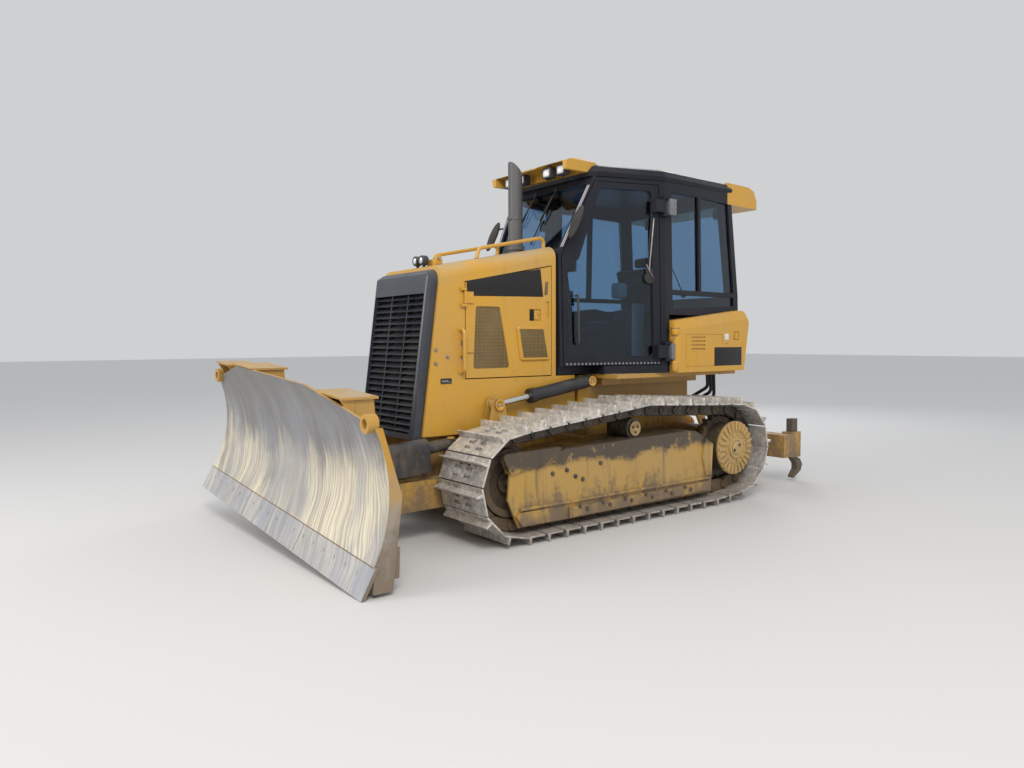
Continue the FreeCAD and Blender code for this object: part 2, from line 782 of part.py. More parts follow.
# Cab
def trim(shape, point, normal):
    # takes away what lies beyond the plane, on the side that the normal points to
    place = FreeCAD.Placement(point, FreeCAD.Rotation(Vector(0, 0, 1), normal))
    block = Part.makeBox(6000, 6000, 3000, Vector(-3000, -3000, 0))
    block.Placement = place
    return shape.cut(block)


def cab_volume(inset):
    # the cab's outline with every wall moved inwards by inset
    low = cab_floor_z + inset
    shape = box(cab_rear_x, cab_front_x - inset, -900, 900, low, cab_roof_z)
    run = Vector(cab_post_x - cab_front_x, cab_post_half - cab_front_half, 0)
    rear_run = Vector(cab_rear_x - cab_post_x, cab_rear_half - cab_post_half, 0)
    for side in (1, -1):
        # columns: a point on the wall at floor level, the wall's run
        walls = ((Vector(cab_post_x, cab_post_half, cab_floor_z), run),
                 (Vector(cab_post_x, cab_post_half, cab_floor_z), rear_run))
        for point, along in walls:
            normal = along.cross(Vector(0, 0, 1)).normalize()
            normal = (normal + Vector(0, 0, cab_side_lean)).normalize()
            place = point - normal * inset
            trim_point = Vector(place.x, place.y * side, place.z)
            shape = trim(shape, trim_point, Vector(normal.x, normal.y * side, normal.z))
    glass_normal = Vector(1, 0, windscreen_lean).normalize()
    shape = trim(shape, Vector(cab_front_x, 0, sill_z) - glass_normal * inset, glass_normal)
    rear_normal = Vector(-1, 0, 0.1).normalize()
    shape = trim(shape, Vector(cab_rear_x, 0, 1740) - rear_normal * inset, rear_normal)
    for side in (1, -1):
        low_y, high_y = sorted(((corner_half - inset) * side, 900 * side))
        shape = shape.cut(box(corner_x - inset, cab_front_x + 50, low_y, high_y, 0, corner_floor_z + inset))
    well_z = belt_z + inset
    well_x = rear_well_x + inset
    shape = shape.cut(box(cab_rear_x - 50, well_x, -900, 900, 0, well_z))
    for side in (1, -1):
        low_y, high_y = sorted(((rear_well_half - inset) * side, 900 * side))
        shape = shape.cut(box(cab_rear_x - 50, box_front_x + 8 + inset, low_y, high_y, 0, well_z))
    return shape


def door_hinge_line(z):
    return door_hinge_x, door_hinge_y - (z - cab_floor_z) * cab_side_lean, z


def door_cutter(margin):
    # the door's outline seen from the side; the sloping front edge follows the windscreen
    front = cab_front_x - 22 - margin
    rear = cab_post_x + 42 + margin
    low, high = corner_floor_z + margin, cab_roof_z - 35 - margin
    lean_x = front - (high - sill_z) * windscreen_lean
    outline = [(front, low), (front, sill_z - 10), (lean_x, high), (rear, high), (rear, low)]
    return side_plate(outline, cab_front_half - cab_wall + 10, 900)


def window_cutters():
    side = [
        # columns: corners (x, z) of each pane behind the door
        [(-690, 1765), (-690, 2560), (-1040, 2555), (-1040, 1765)],
        [(-1075, 1765), (-1075, 2555), (-1465, 2545), (-1535, 1765)],
        [(-690, 1610), (-690, 1725), (-1535, 1725), (-1535, 1650)],
    ]
    return [side_plate(pane, 500, 900) for pane in side]


def windscreen_cutter():
    return front_plate([(-395, sill_z + 45), (395, sill_z + 45), (455, cab_roof_z - 60), (-455, cab_roof_z - 60)],
                       -150, 400)


def rear_window_cutter():
    return front_plate([(-570, 1740), (570, 1740), (540, 2540), (-540, 2540)], -1700, -1400)


def cab_shell():
    shell = cab_volume(0).cut(cab_volume(cab_wall))
    tools = [windscreen_cutter(), rear_window_cutter()]
    for cutter in window_cutters() + [door_cutter(0)]:
        tools += [cutter, mirrored(cutter)]
    shell = shell.cut(tools)
    fixed = []
    for z in door_hinge_heights:
        for low, high in ((z - 78, z - 60), (z + 60, z + 78)):
            x, y = door_hinge_line(z)[:2]
            fixed.append(box(x - 62, x + 12, y - 42, y + 14, low, high))
        fixed.append(bar(door_hinge_line(z - 76), door_hinge_line(z + 76), hinge_pin_radius))
    for shape in list(fixed):
        fixed.append(mirrored(shape))
    return fuse([shell] + fixed)


def cab_skin(setback):
    return cab_volume(setback).cut(cab_volume(setback + glass_thickness))


def cab_glass():
    skin = cab_skin(glass_setback)
    panes = [windscreen_cutter(), rear_window_cutter()]
    for cutter in window_cutters():
        panes += [cutter, mirrored(cutter)]
    return [skin.common(pane) for pane in panes]


def door_window():
    front = cab_front_x - 70
    rear = cab_post_x + 110
    low, high = corner_floor_z + 75, cab_roof_z - 90
    lean_x = front - (high - sill_z) * windscreen_lean - 30
    outline = [(front, low), (front, sill_z - 112), (front - 98, sill_z - 30), (lean_x, high), (rear, high),
               (rear, low)]
    return rounded(side_plate(outline, 380, 900), 36, across)


def cab_door():
    panel = cab_volume(0).cut(cab_volume(cab_wall)).common(door_cutter(door_gap))
    panel = panel.cut(door_window())
    pieces = [panel]
    holes = []
    for z in door_hinge_heights:
        x, y = door_hinge_line(z)[:2]
        pieces.append(box(x, x + 100, y - 14, y + 12, z - 50, z + 50))
        pieces.append(box(x + 32, x + 100, y - 45, y + 12, z - 50, z + 50))
        pieces.append(bar(door_hinge_line(z - 54), door_hinge_line(z + 54), 17))
        holes.append(bar(door_hinge_line(z - 60), door_hinge_line(z + 60), hinge_pin_radius + pin_clearance))
    return fuse(pieces).cut(holes)


def cab_door_glass():
    return cab_skin(glass_setback).common(door_window())


def roof_outline(grow, z):
    # the roof's plan, grown outwards
    return [Vector(x, y, z) for x, y in (
        (25 + grow, 470), (-30 + grow, 525 + grow), (cab_post_x, 700 + grow), (cab_rear_x + 95 - grow, 668 + grow),
        (cab_rear_x + 95 - grow, -668 - grow), (cab_post_x, -700 - grow), (-30 + grow, -525 - grow),
        (25 + grow, -470))]


def polygon_wire(points):
    return Part.makePolygon(points + [points[0]])


def cab_roof():
    # columns: outward growth of the roof's plan, height above the cab's walls
    sections = ((0, 0), (14, 30), (-10, 76), (-70, roof_height))
    return Part.makeLoft([polygon_wire(roof_outline(grow, cab_roof_z + rise)) for grow, rise in sections],
                         True, True)


def roof_brow():
    outline = [(-470, 2668), (-490, 2745), (-380, 2790), (-200, 2800), (-110, 2765), (110, 2765), (200, 2800),
               (380, 2790), (490, 2745), (470, 2668)]
    slab = front_plate(outline, -30, 262)
    slab = trim(slab, Vector(262, 0, 2735), Vector(0.35, 0, 1).normalize())
    under = front_plate([(-440, 2600), (440, 2600), (430, 2735), (190, 2760), (100, 2725), (-100, 2725),
                         (-190, 2760), (-430, 2735)], 92, 300)
    return slab.cut([under, cab_roof(), cab_volume(0)])


def roof_rear_cap():
    front = cab_rear_x + 140
    outline = [(front, 2545), (front, 2732), (-1760, 2725), (-1868, 2690), (-1905, 2620), (-1905, 2540)]
    cap = side_plate(outline, -672, 672)
    rear_edges = [edge for edge in cap.Edges if edge.BoundBox.XMax < -1760 and abs(edge.BoundBox.YLength) < 2]
    cap = cap.makeFillet(30, rear_edges)
    return cap.cut([cab_volume(0), cab_roof()])


def lamps():
    shapes = []
    for y in (165, 335):
        for side in (1, -1):
            centre = y * side
            shapes.append(box(110, 205, centre - 62, centre + 62, 2648, 2724))
            shapes.append(box(130, 160, centre - 12, centre + 12, 2720, 2775))
    return fuse(shapes).cut(roof_brow())


def seat_base():
    return fuse([box(-960, -600, -230, 230, cab_floor_z + cab_wall, 1260), box(-1000, -560, -200, 200, 1260, 1400)])


def seat_cushions():
    front = -1000 - seat_gap
    seat = box(-1000, -520, -245, 245, 1400 + seat_gap, 1520)
    back = side_plate([(front, 1500), (-1120, 2130), (-1225, 2110), (-1120, 1440), (front, 1440)], -235, 235)
    return seat, back


def cab_controls():
    shapes = []
    for side in (1, -1):
        low, high = sorted((270 * side, 430 * side))
        shapes.append(side_plate([(-960, cab_floor_z + cab_wall), (-960, 1610), (-760, 1640), (-470, 1600),
                                  (-420, 1520), (-440, cab_floor_z + cab_wall)], low, high))
        shapes.append(bar((-520, 350 * side, 1590), (-505, 350 * side, 1700), 20))
        shapes.append(bar((-508, 350 * side, 1690), (-498, 350 * side, 1760), 30))
    dash = side_plate([(252, cab_floor_z + cab_wall), (252, 1900), (120, 1880), (90, 1700), (180, 1400),
                       (200, cab_floor_z + cab_wall)], -330, 330)
    shapes.append(dash)
    return shapes


def side_box():
    outline = [(box_front_x, cab_floor_z), (box_front_x, 1512), (-1490, 1608), (-1560, 1600), (box_rear_x, 1500),
               (-1545, cab_floor_z)]
    tank = side_plate(outline, rear_well_half + 4, box_outer_y)
    corner = [edge for edge in tank.Edges
              if edge.BoundBox.XMin > box_front_x - 1 and edge.BoundBox.YMin > box_outer_y - 1]
    tank = tank.makeFillet(box_corner, corner)
    lean = math.radians(box_upper_lean)
    rise = (1608 - 1512) / (1490 + box_front_x)
    face = Vector(rise * math.sin(lean), math.cos(lean), math.sin(lean)).normalize()
    tank = trim(tank, Vector(box_front_x, box_outer_y, box_crease_z), face)
    tank = tank.cut(cab_volume(0))
    grooves = [box(-1010, -830, box_outer_y - 10, box_outer_y + 5, z, z + 14) for z in (1270, 1302, 1334, 1366)]
    hatch = side_plate([(-1240, 1130), (-760, 1130), (-760, 1400), (-1240, 1400)], box_outer_y - 4, box_outer_y + 1)
    inside = side_plate([(-1236, 1134), (-764, 1134), (-764, 1396), (-1236, 1396)], box_outer_y - 5, box_outer_y + 2)
    grooves.append(rounded(hatch, 16, across).cut(rounded(inside, 14, across)))
    latch = box(-1470, -1390, box_outer_y - latch_recess, box_outer_y + 1, 1350, 1425)
    grooves.append(latch.cut(box(-1460, -1424, box_outer_y - latch_recess, box_outer_y + 1, 1358, 1417)))
    return tank.cut(grooves)


def fuel_tank():
    front = rear_well_x - seat_gap
    outline = [(front, cab_floor_z), (front, belt_z - 6), (-1575, belt_z - 6), (box_rear_x, 1500), (-1545, cab_floor_z)]
    return side_plate(outline, -rear_well_half - 4, rear_well_half + 4)


# Hydraulic cylinders are made along X from the base pin, with their pins along Y
def barrel(length, outer, bore, rod_radius, pin_radius, eye_radius, eye_width):
    tube = bar((eye_radius - 8, 0, 0), (length, 0, 0), outer)
    gland = bar((length - 46, 0, 0), (length, 0, 0), outer + 7)
    eye = bar((0, -eye_width / 2, 0), (0, eye_width / 2, 0), eye_radius)
    body = fuse([tube, gland, eye])
    hole = bar((0, -eye_width, 0), (0, eye_width, 0), pin_radius + pin_clearance)
    inside = bar((eye_radius + 10, 0, 0), (length - 20, 0, 0), bore)
    mouth = bar((length - 60, 0, 0), (length + 5, 0, 0), rod_radius + pin_clearance)
    return body.cut([hole, inside, mouth])


def piston_rod(length, reach, bore, rod_radius, eye_radius, eye_width):
    shaft = bar((length - reach, 0, 0), (length, 0, 0), rod_radius)
    piston = bar((length - reach, 0, 0), (length - reach + 24, 0, 0), bore - pin_clearance)
    eye = bar((length, -eye_width / 2, 0), (length, eye_width / 2, 0), eye_radius)
    return fuse([shaft, piston, eye])


def lay(shape, base, end, pin_axis):
    # lays a cylinder from its base pin towards its rod's eye, with its pins near pin_axis
    base = Vector(*base)
    along = (Vector(*end) - base).normalize()
    across = (pin_axis - along * pin_axis.dot(along)).normalize()
    rotation = FreeCAD.Rotation(along, across, along.cross(across), "XYZ")
    placed = shape.copy()
    placed.Placement = FreeCAD.Placement(base, rotation)
    return placed


def span(base, end):
    return (Vector(*end) - Vector(*base)).Length


lift_ends = ((lift_base[0], lift_y, lift_base[1]), (lift_eye[0], lift_y, lift_eye[1]))
ripper_ends = ((ripper_base[0], 0, ripper_base[1]), (ripper_eye[0], 0, ripper_eye[1]))
lift_length = span(*lift_ends)
angle_length = span(angle_base, angle_eye)
tilt_length = span(tilt_base, tilt_eye)
ripper_length = span(*ripper_ends)


def lift_cylinder():
    body = barrel(610, 50, 38, 24, 28, 48, 70)
    inner = piston_rod(lift_length, 625, 38, 24, 44, 50)
    return [lay(shape, lift_ends[0], lift_ends[1], Vector(0, 1, 0)) for shape in (body, inner)]


def angle_cylinder():
    body = barrel(582, 42, 32, 20, 20, 40, 60)
    guard = box(222, 540, -52, 52, -150, 20)
    guard = guard.fuse(bar((222, 0, 20), (540, 0, 20), 52))
    hollow = box(200, 560, -47, 47, -160, 20).fuse(bar((200, 0, 20), (560, 0, 20), 47))
    guard = guard.cut(hollow)
    stays = [box(x, x + 10, -50, 50, -10, 30).cut(bar((x - 5, 0, 0), (x + 15, 0, 0), 41)) for x in (240, 500)]
    guard = fuse([guard] + stays)
    inner = piston_rod(angle_length, 573, 32, 20, 40, 60)
    # local Y is the pin, so the guard is turned to stand upright over the barrel
    guard.rotate(Vector(0, 0, 0), Vector(1, 0, 0), 90)
    body = fuse([body, guard])
    return [lay(shape, angle_base, angle_eye, Vector(0, 0, -1)) for shape in (body, inner)]


def tilt_cylinder():
    body = barrel(310, 46, 36, 24, 22, 38, 50)
    inner = piston_rod(tilt_length, 320, 36, 24, 38, 50)
    return [lay(shape, tilt_base, tilt_eye, Vector(1, 0, 0)) for shape in (body, inner)]


def ripper_cylinder():
    body = barrel(470, 52, 42, 26, 24, 46, 60)
    inner = piston_rod(ripper_length, 482, 42, 26, 42, 56)
    return [lay(shape, ripper_ends[0], ripper_ends[1], Vector(0, 1, 0)) for shape in (body, inner)]


def push_frame():
    arm = side_plate([(pivot_x, arm_low_z + 22), (1700, arm_low_z), (crossbeam_front_x, arm_low_z),
                      (crossbeam_front_x, arm_high_z), (pivot_x, arm_high_z + 5)], arm_inner_y, arm_outer_y)
    knuckle = cross_bar(pivot_x, pivot_z, arm_inner_y, arm_outer_y, 92)
    lug = [(790, arm_high_z - 10), (898, lift_eye[1] + 15), (1002, lift_eye[1] + 15), (1110, arm_high_z - 10)]
    pieces = [arm, knuckle]
    for y in (lift_y - 44, lift_y + 29):
        pieces.append(side_plate(lug, y, y + 15))
        pieces.append(cross_bar(lift_eye[0], lift_eye[1], y, y + 15, 54))
    pieces.append(cross_bar(lift_eye[0], lift_eye[1], lift_y + 44, lift_y + 54, 34))
    stand = plan_plate([(angle_base[0] - 60, arm_inner_y + 10), (angle_base[0] + 42, arm_inner_y + 10),
                        (angle_base[0] + 42, arm_outer_y - 16), (angle_base[0] - 60, arm_outer_y - 16)],
                       arm_high_z - 5, angle_base[2] - 54)
    pieces.append(stand)
    side = fuse(pieces).cut(cross_bar(pivot_x, pivot_z, arm_inner_y - 5, arm_outer_y + 5,
                                      post_radius + pin_clearance))
    along = (Vector(*angle_eye) - Vector(*angle_base)).normalize()
    up = (Vector(0, 0, 1) - along * along.z).normalize()
    foot = Vector(*angle_base) - up * 70
    pin = Part.makeCylinder(20, 108, foot, up)
    head = Part.makeCylinder(26, 8, foot + up * 105, up)
    side = fuse([side, pin, head])
    crossbeam = box(crossbeam_rear_x, crossbeam_front_x, -arm_outer_y, arm_outer_y, arm_low_z, arm_high_z)
    nose = plan_plate([(crossbeam_front_x - 10, -170), (crossbeam_front_x - 10, 170), (1988, 120), (1988, -120)],
                      175, 445)
    forks = []
    for z in (175, 405):
        plate = plan_plate([(1985, -110), (1985, 110), (swivel_x, 74), (swivel_x, -74)], z, z + 40)
        forks.append(plate.fuse(bar((swivel_x, 0, z), (swivel_x, 0, z + 40), 76)))
    post = bar((swivel_x, 0, 175), (swivel_x, 0, tower_top_z), post_radius)
    gusset = side_plate([(1850, arm_high_z - 5), (swivel_x, arm_high_z - 5), (swivel_x, tower_top_z - 40),
                         (2040, tower_top_z - 40)], -15, 15)
    return fuse([side, mirrored(side), crossbeam, nose, post, gusset] + forks)


def blade_swivel():
    sleeve = bar((swivel_x, 0, 220), (swivel_x, 0, 400), 80)
    pin = bar((swivel_x, 0, swivel_z), (swivel_pin_front, 0, swivel_z), post_radius)
    body = fuse([sleeve, pin]).cut(bar((swivel_x, 0, 200), (swivel_x, 0, 420), post_radius + pin_clearance))
    top = tower_top_z + 24
    cap = bar((swivel_x, 0, tower_top_z + pin_clearance), (swivel_x, 0, top), 92)
    ears = []
    height = tilt_base[2] + 24
    for x in (swivel_x - 64, swivel_x + 52):
        ears.append(front_plate([(-55, top - 4), (55, top - 4), (34, height), (-34, height)], x,
                                x + tilt_ear_plate))
    tilt_pin = bar((swivel_x - 66, 0, tilt_base[2]), (swivel_x + 66, 0, tilt_base[2]), 22)
    return [body, fuse([cap, tilt_pin] + ears)]


# Blade, made level and then turned about the swivel pin to the tilt it rests at
rest_sine = math.sin(math.radians(blade_rest_tilt))
rest_cosine = math.cos(math.radians(blade_rest_tilt))
blade_low_z = swivel_z + (ground_gap - swivel_z + blade_half_width * rest_sine) / rest_cosine


def at_rest(shape):
    turned = shape.copy()
    turned.rotate(Vector(0, 0, swivel_z), Vector(1, 0, 0), -blade_rest_tilt)
    return turned


def blade_curve(back):
    # points (x, z) on the mouldboard's face, moved back by a thickness
    points = ((blade_foot_setback, edge_height - 20), (blade_hollow, blade_hollow_z),
              (blade_top_setback, blade_height + 4))
    return [Vector(blade_edge_x - setback - back, 0, blade_low_z + z) for setback, z in points]


def behind_curve(back, reach, low):
    # solid between the curve at this depth and a plane further back or forward
    bottom, middle, top = blade_curve(back)
    foot = Vector(bottom.x + 8, 0, low)
    corners = [Vector(reach, 0, top.z), Vector(reach, 0, low)]
    edges = [Part.LineSegment(foot, bottom), Part.Arc(bottom, middle, top), Part.LineSegment(top, corners[0]),
             Part.LineSegment(corners[0], corners[1]), Part.LineSegment(corners[1], foot)]
    face = Part.Face(Part.Wire([edge.toShape() for edge in edges]))
    solid = face.extrude(Vector(0, 2 * blade_half_width + 100, 0))
    solid.translate(Vector(0, -blade_half_width - 50, 0))
    return solid


def blade_outline(inset):
    # the blade's outline from the front, its ends moved inwards by inset
    low = blade_low_z - inset
    half, top_half = blade_half_width - inset, blade_top_half_width - inset
    corners = [(half, low), (top_half, blade_low_z + blade_end_height + inset),
               (blade_shoulder_y, blade_low_z + blade_height + inset)]
    corners = corners + [(-y, z) for y, z in reversed(corners)]
    return front_plate(corners, blade_edge_x - 580, blade_edge_x + 220)


def cap_wedge(y0, y1, high, rear_x):
    # what a cap box takes up below its top plate, between two widths
    low = blade_low_z + cap_foot_height
    top = blade_low_z + high
    front = blade_edge_x - blade_top_setback - 2
    return side_plate([(front, low), (rear_x - 6, low), (rear_x + 42, top), (front, top)], y0, y1)


def cap_box(y0, y1, high, rear_x):
    # a plate on two tapering walls and a back, open in front over the blade's edge
    low = blade_low_z + cap_foot_height
    top = blade_low_z + high
    front = blade_edge_x - blade_top_setback - 2
    pieces = [box(rear_x + 20, front, y0, y1, top, top + cap_plate)]
    for y in (y0 + cap_wall, y1 - 2 * cap_wall):
        pieces.append(cap_wedge(y, y + cap_wall, high, rear_x))
    back = [(rear_x - 6, low), (rear_x - 6 + cap_wall, low), (rear_x + 42 + cap_wall, top), (rear_x + 42, top)]
    pieces.append(side_plate(back, y0 + cap_wall, y1 - cap_wall))
    return fuse(pieces)


def blade():
    far = blade_edge_x + 420
    ahead = behind_curve(0, far, blade_low_z - 50)
    plate = behind_curve(blade_plate, far, blade_low_z + edge_height - 25).cut(ahead)
    plate = plate.common(blade_outline(0))
    low = blade_low_z
    beam_rear, beam_front = blade_edge_x - 248, blade_edge_x - 55
    pieces = [side_plate([(beam_rear, low + 70), (beam_front, low + 70), (beam_front, low + 300),
                          (beam_rear, low + 240)], -blade_half_width + 40, blade_half_width - 40)]
    ends = side_plate([(blade_edge_x - 190, low + 20), (blade_edge_x - 35, low + 20),
                       (blade_edge_x + 10, low + blade_end_height), (blade_edge_x - 150, low + blade_end_height),
                       (blade_edge_x - 258, low + blade_hollow_z)], -blade_half_width, blade_half_width)
    pieces.append(ends.common(blade_outline(0)).cut(blade_outline(end_plate)))
    behind = behind_curve(blade_plate / 2, far, low - 50)
    body = fuse(pieces).cut(behind)
    socket = box(socket_rear_x, blade_edge_x - 150, -socket_half, socket_half, swivel_z - socket_half + 5,
                 swivel_z + socket_half - 5).cut(behind)
    pin_hole = bar((socket_rear_x - 20, 0, swivel_z), (swivel_pin_front + 8, 0, swivel_z),
                   post_radius + pin_clearance)
    return fuse([plate, body, socket]).cut([pin_hole, level_edge(edge_height)] + eye_notches())


def eye_notches():
    return [lifting_eye(side, seat_gap, 700) for side in (1, -1)]


# Boxes on the blade's top: right and left side, height, rear
cap_boxes = ((-blade_top_half_width + 123, -blade_top_half_width + 413, 1010, rib_rear_x),
             (blade_top_half_width - 713, blade_top_half_width - 313, 1000, rib_rear_x - 18),
             (-700, -300, blade_height - 5, rib_rear_x))


def blade_braces(mouldboard):
    # ribs and top boxes behind the mouldboard, each a piece that ends on its back, and the tilt ears
    low = blade_low_z
    rib = [(rib_rear_x, low + 200), (blade_edge_x - 40, low + 200), (blade_edge_x - 40, low + 800),
           (rib_rear_x + 50, low + 760)]
    inner_rib = angle_eye[1] - rib_inner_gap - rib_plate
    pieces = []
    for y in (socket_half - 5, inner_rib, angle_eye[1] + rib_outer_gap, blade_top_half_width - 363,
              blade_top_half_width - 163):
        shape = side_plate(rib, y, y + rib_plate)
        pieces += [shape, mirrored(shape)]
    caps = fuse([cap_box(*place) for place in cap_boxes])
    ahead = behind_curve(blade_plate, blade_edge_x + 420, low - 50)
    trimmed = [shape.cut([caps, ahead, mouldboard]) for shape in pieces]
    trimmed.append(caps.cut([ahead, mouldboard] + eye_notches()))
    return Part.makeCompound([at_rest(shape) for shape in trimmed] + [tilt_ears()])


def tilt_ears():
    # two ears on a web that ends at the back of a top box
    y, z = tilt_eye[1], tilt_eye[2]
    ears = []
    for x in (swivel_x - 42, swivel_x + 30):
        ears.append(front_plate([(y - 70, z - 50), (y + 20, z - 50), (y + 40, z), (y + 20, z + 50),
                                 (y - 70, z + 50)], x, x + tilt_ear_plate))
    ears.append(box(swivel_x - 42, rib_rear_x + 60, y - 75, y - 59, z - 50, z + 50))
    return fuse(ears).cut(at_rest(cap_wedge(*cap_boxes[2])))


def lifting_eye(side, grow, length):
    # solid of a lifting eye's boss, lying fore and aft on the blade's upper corner
    y = (blade_top_half_width - lifting_eye_inset) * side
    z = blade_low_z + lifting_eye_height
    return bar((lifting_eye_x - length / 2, y, z), (lifting_eye_x + length / 2, y, z),
               lifting_eye_radius + lifting_eye_wall + grow)


def lifting_eyes():
    eyes = []
    for side in (1, -1):
        boss = lifting_eye(side, 0, lifting_eye_length)
        hole = lifting_eye(side, -lifting_eye_wall, lifting_eye_length + 10)
        eyes.append(at_rest(boss.cut(hole)))
    return eyes


def level_edge(ahead):
    # the cutting edge, made thicker forwards by ahead where it clears its own place
    low = blade_low_z
    top = low + edge_height
    back = edge_lean * edge_height
    outline = [(blade_edge_x + ahead, low), (blade_edge_x - back + ahead, top),
               (blade_edge_x - back - edge_thickness, top),
               (blade_edge_x - edge_thickness, low)]
    return side_plate(outline, -blade_half_width, blade_half_width)


def ripper_arms():
    ax, az = ripper_pivot
    bx, bz = ripper_arm_pin
    ex, ez = ripper_eye
    tie_x, tie_z = ex + 55, ez - 95
    shapes = []
    for side in (1, -1):
        low, high = sorted((ripper_arm_y * side - 28, ripper_arm_y * side + 28))
        arm = side_plate([(ax, az + 50), (ax, az - 50), (-1740, 322), (tie_x + 40, tie_z - 34),
                          (tie_x - 30, tie_z - 34), (bx, bz - 36), (bx, bz + 36), (-1700, 450)], low, high)
        arm = fuse([arm, cross_bar(ax, az, low, high, 52), cross_bar(bx, bz, low, high, 38)])
        shapes.append(arm)
    tie = cross_bar(tie_x, tie_z, -ripper_arm_y, ripper_arm_y, 28)
    ears = []
    for y in (-50, 34):
        ears.append(side_plate([(tie_x - 24, tie_z - 14), (tie_x + 24, tie_z - 14), (tie_x + 22, tie_z + 20),
                                (ex + 46, ez), (ex + 20, ez + 44), (ex - 30, ez + 40), (ex - 52, ez),
                                (ex - 30, ez - 50)], y, y + 16))
    body = fuse(shapes + [tie] + ears)
    holes = [cross_bar(ax, az, -400, 400, 28 + pin_clearance), cross_bar(bx, bz, -400, 400, 24 + pin_clearance)]
    return body.cut(holes)


def ripper_links():
    cx, cz = ripper_link_pivot
    dx, dz = ripper_link_pin
    low, high = ripper_link_y - 20, ripper_link_y + 20
    link = side_plate([(cx, cz + 32), (cx, cz - 32), (dx, dz - 32), (dx, dz + 32)], low, high)
    link = fuse([link, cross_bar(cx, cz, low, high, 40), cross_bar(dx, dz, low, high, 36)])
    link = link.cut([cross_bar(cx, cz, low - 5, high + 5, 24 + pin_clearance),
                     cross_bar(dx, dz, low - 5, high + 5, 24 + pin_clearance)])
    return both_sides(link)


def ripper_beam():
    bx, bz = ripper_arm_pin
    dx, dz = ripper_link_pin
    front = -2100
    rear = front - beam_depth
    low, high = 250, 250 + beam_height
    shapes = [box(rear, front, -beam_half_width, beam_half_width, low, high)]
    for side in (1, -1):
        for offset in (34, -54):
            y = ripper_arm_y * side + offset
            shapes.append(side_plate([(front - 10, bz - 50), (bx + 20, bz - 34), (bx + 34, bz), (bx + 20, bz + 34),
                                      (front - 10, bz + 60)], y, y + 20))
        y = sorted((96 * side, 126 * side))
        shapes.append(side_plate([(rear + 40, high - 10), (front - 10, high - 10), (dx + 36, dz), (dx + 20, dz + 38),
                                  (dx - 40, dz + 38)], *y))
        low_y, high_y = sorted(((ripper_arm_y - 60) * side, (ripper_arm_y + 60) * side))
        shapes.append(cross_bar(bx, bz, low_y, high_y, 24))
    shapes.append(cross_bar(dx, dz, -ripper_link_y - 32, ripper_link_y + 32, 24))
    slots = []
    for y in (-shank_spacing, 0, shank_spacing):
        shapes.append(box(-2412, rear + 10, y - 52, y + 52, low - 15, high + 15))
        slots.append(box(-2386, -2296, y - 30, y + 30, low - 50, high + 50))
    return fuse(shapes).cut(slots)


def ripper_shanks():
    outline = [(-2296, 600), (-2386, 600), (-2386, 232), (-2446, 205), (-2480, 150), (-2455, 95),
               (-2340, shank_tip_z), (-2328, shank_tip_z + 12), (-2392, 115), (-2390, 165), (-2340, 215),
               (-2296, 232)]
    return [side_plate(outline, y - 30, y + 30) for y in (-shank_spacing, 0, shank_spacing)]


def save_all():
    save("main_frame", main_frame())
    save("cross_members", both_sides(cross_members()))
    save("engine_block", engine_block())
    save("radiator_core", radiator_core())
    save("hood_base", hood_base())
    save("grille_frame", grille_frame())
    save("grille", grille())
    save("hood", hood())
    rails = [hood_rails(), nose_handle()]
    save("hood_rails", Part.makeCompound(rails + [mirrored(shape) for shape in rails]))
    save("platform", platform())
    save("lift_brackets", both_sides(lift_brackets()))
    save("hoses", Part.makeCompound(hoses()))
    save("exhaust_stack", exhaust_stack())
    save("cab_shell", cab_shell())
    save("cab_roof", cab_roof())
    save("roof_brow", roof_brow())
    save("roof_rear_cap", roof_rear_cap())
    save("cab_glass", Part.makeCompound(cab_glass()))
    save("seat_base", seat_base())
    save("seat_cushions", Part.makeCompound(list(seat_cushions())))
    save("cab_controls", fuse(cab_controls()))
    save("side_boxes", both_sides(side_box()))
    save("fuel_tank", fuel_tank())
    save("lamps", lamps())
    save("track_frames", both_sides(track_frame()))
    save("sprockets", both_sides(sprocket()))
    save("idlers", both_sides(idler()))
    wheels = rollers()
    save("track_rollers", Part.makeCompound(wheels + [mirrored(shape) for shape in wheels]))
    loop = track()
    save("track_left", loop)
    save("track_right", mirrored(loop))
    door, pane, panel = cab_door(), cab_door_glass(), engine_door()
    save("door_left", door)
    save("door_right", mirrored(door))
    save("door_left_glass", pane)
    save("door_right_glass", mirrored(pane))
    save("engine_door_left", panel)
    save("engine_door_right", mirrored(panel))
    save("push_frame", push_frame())
    swivel, cap = blade_swivel()
    save("blade_swivel", swivel)
    save("tower_cap", cap)
    mouldboard = blade()
    save("blade", at_rest(mouldboard))
    save("blade_braces", blade_braces(mouldboard))
    save("cutting_edge", at_rest(level_edge(0)))
    save("lifting_eyes", Part.makeCompound(lifting_eyes()))
    for name, pair in (("lift", lift_cylinder()), ("angle", angle_cylinder())):
        save(name + "_barrel_left", pair[0])
        save(name + "_rod_left", pair[1])
        save(name + "_barrel_right", mirrored(pair[0]))
        save(name + "_rod_right", mirrored(pair[1]))
    for name, pair in (("tilt", tilt_cylinder()), ("ripper", ripper_cylinder())):
        save(name + "_barrel", pair[0])
        save(name + "_rod", pair[1])
    save("ripper_arms", ripper_arms())
    save("ripper_links", ripper_links())
    save("ripper_beam", ripper_beam())
    save("ripper_shanks", Part.makeCompound(ripper_shanks()))


save_all()
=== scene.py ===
import bpy
import bmesh
import math
import random
from mathutils import Matrix, Vector


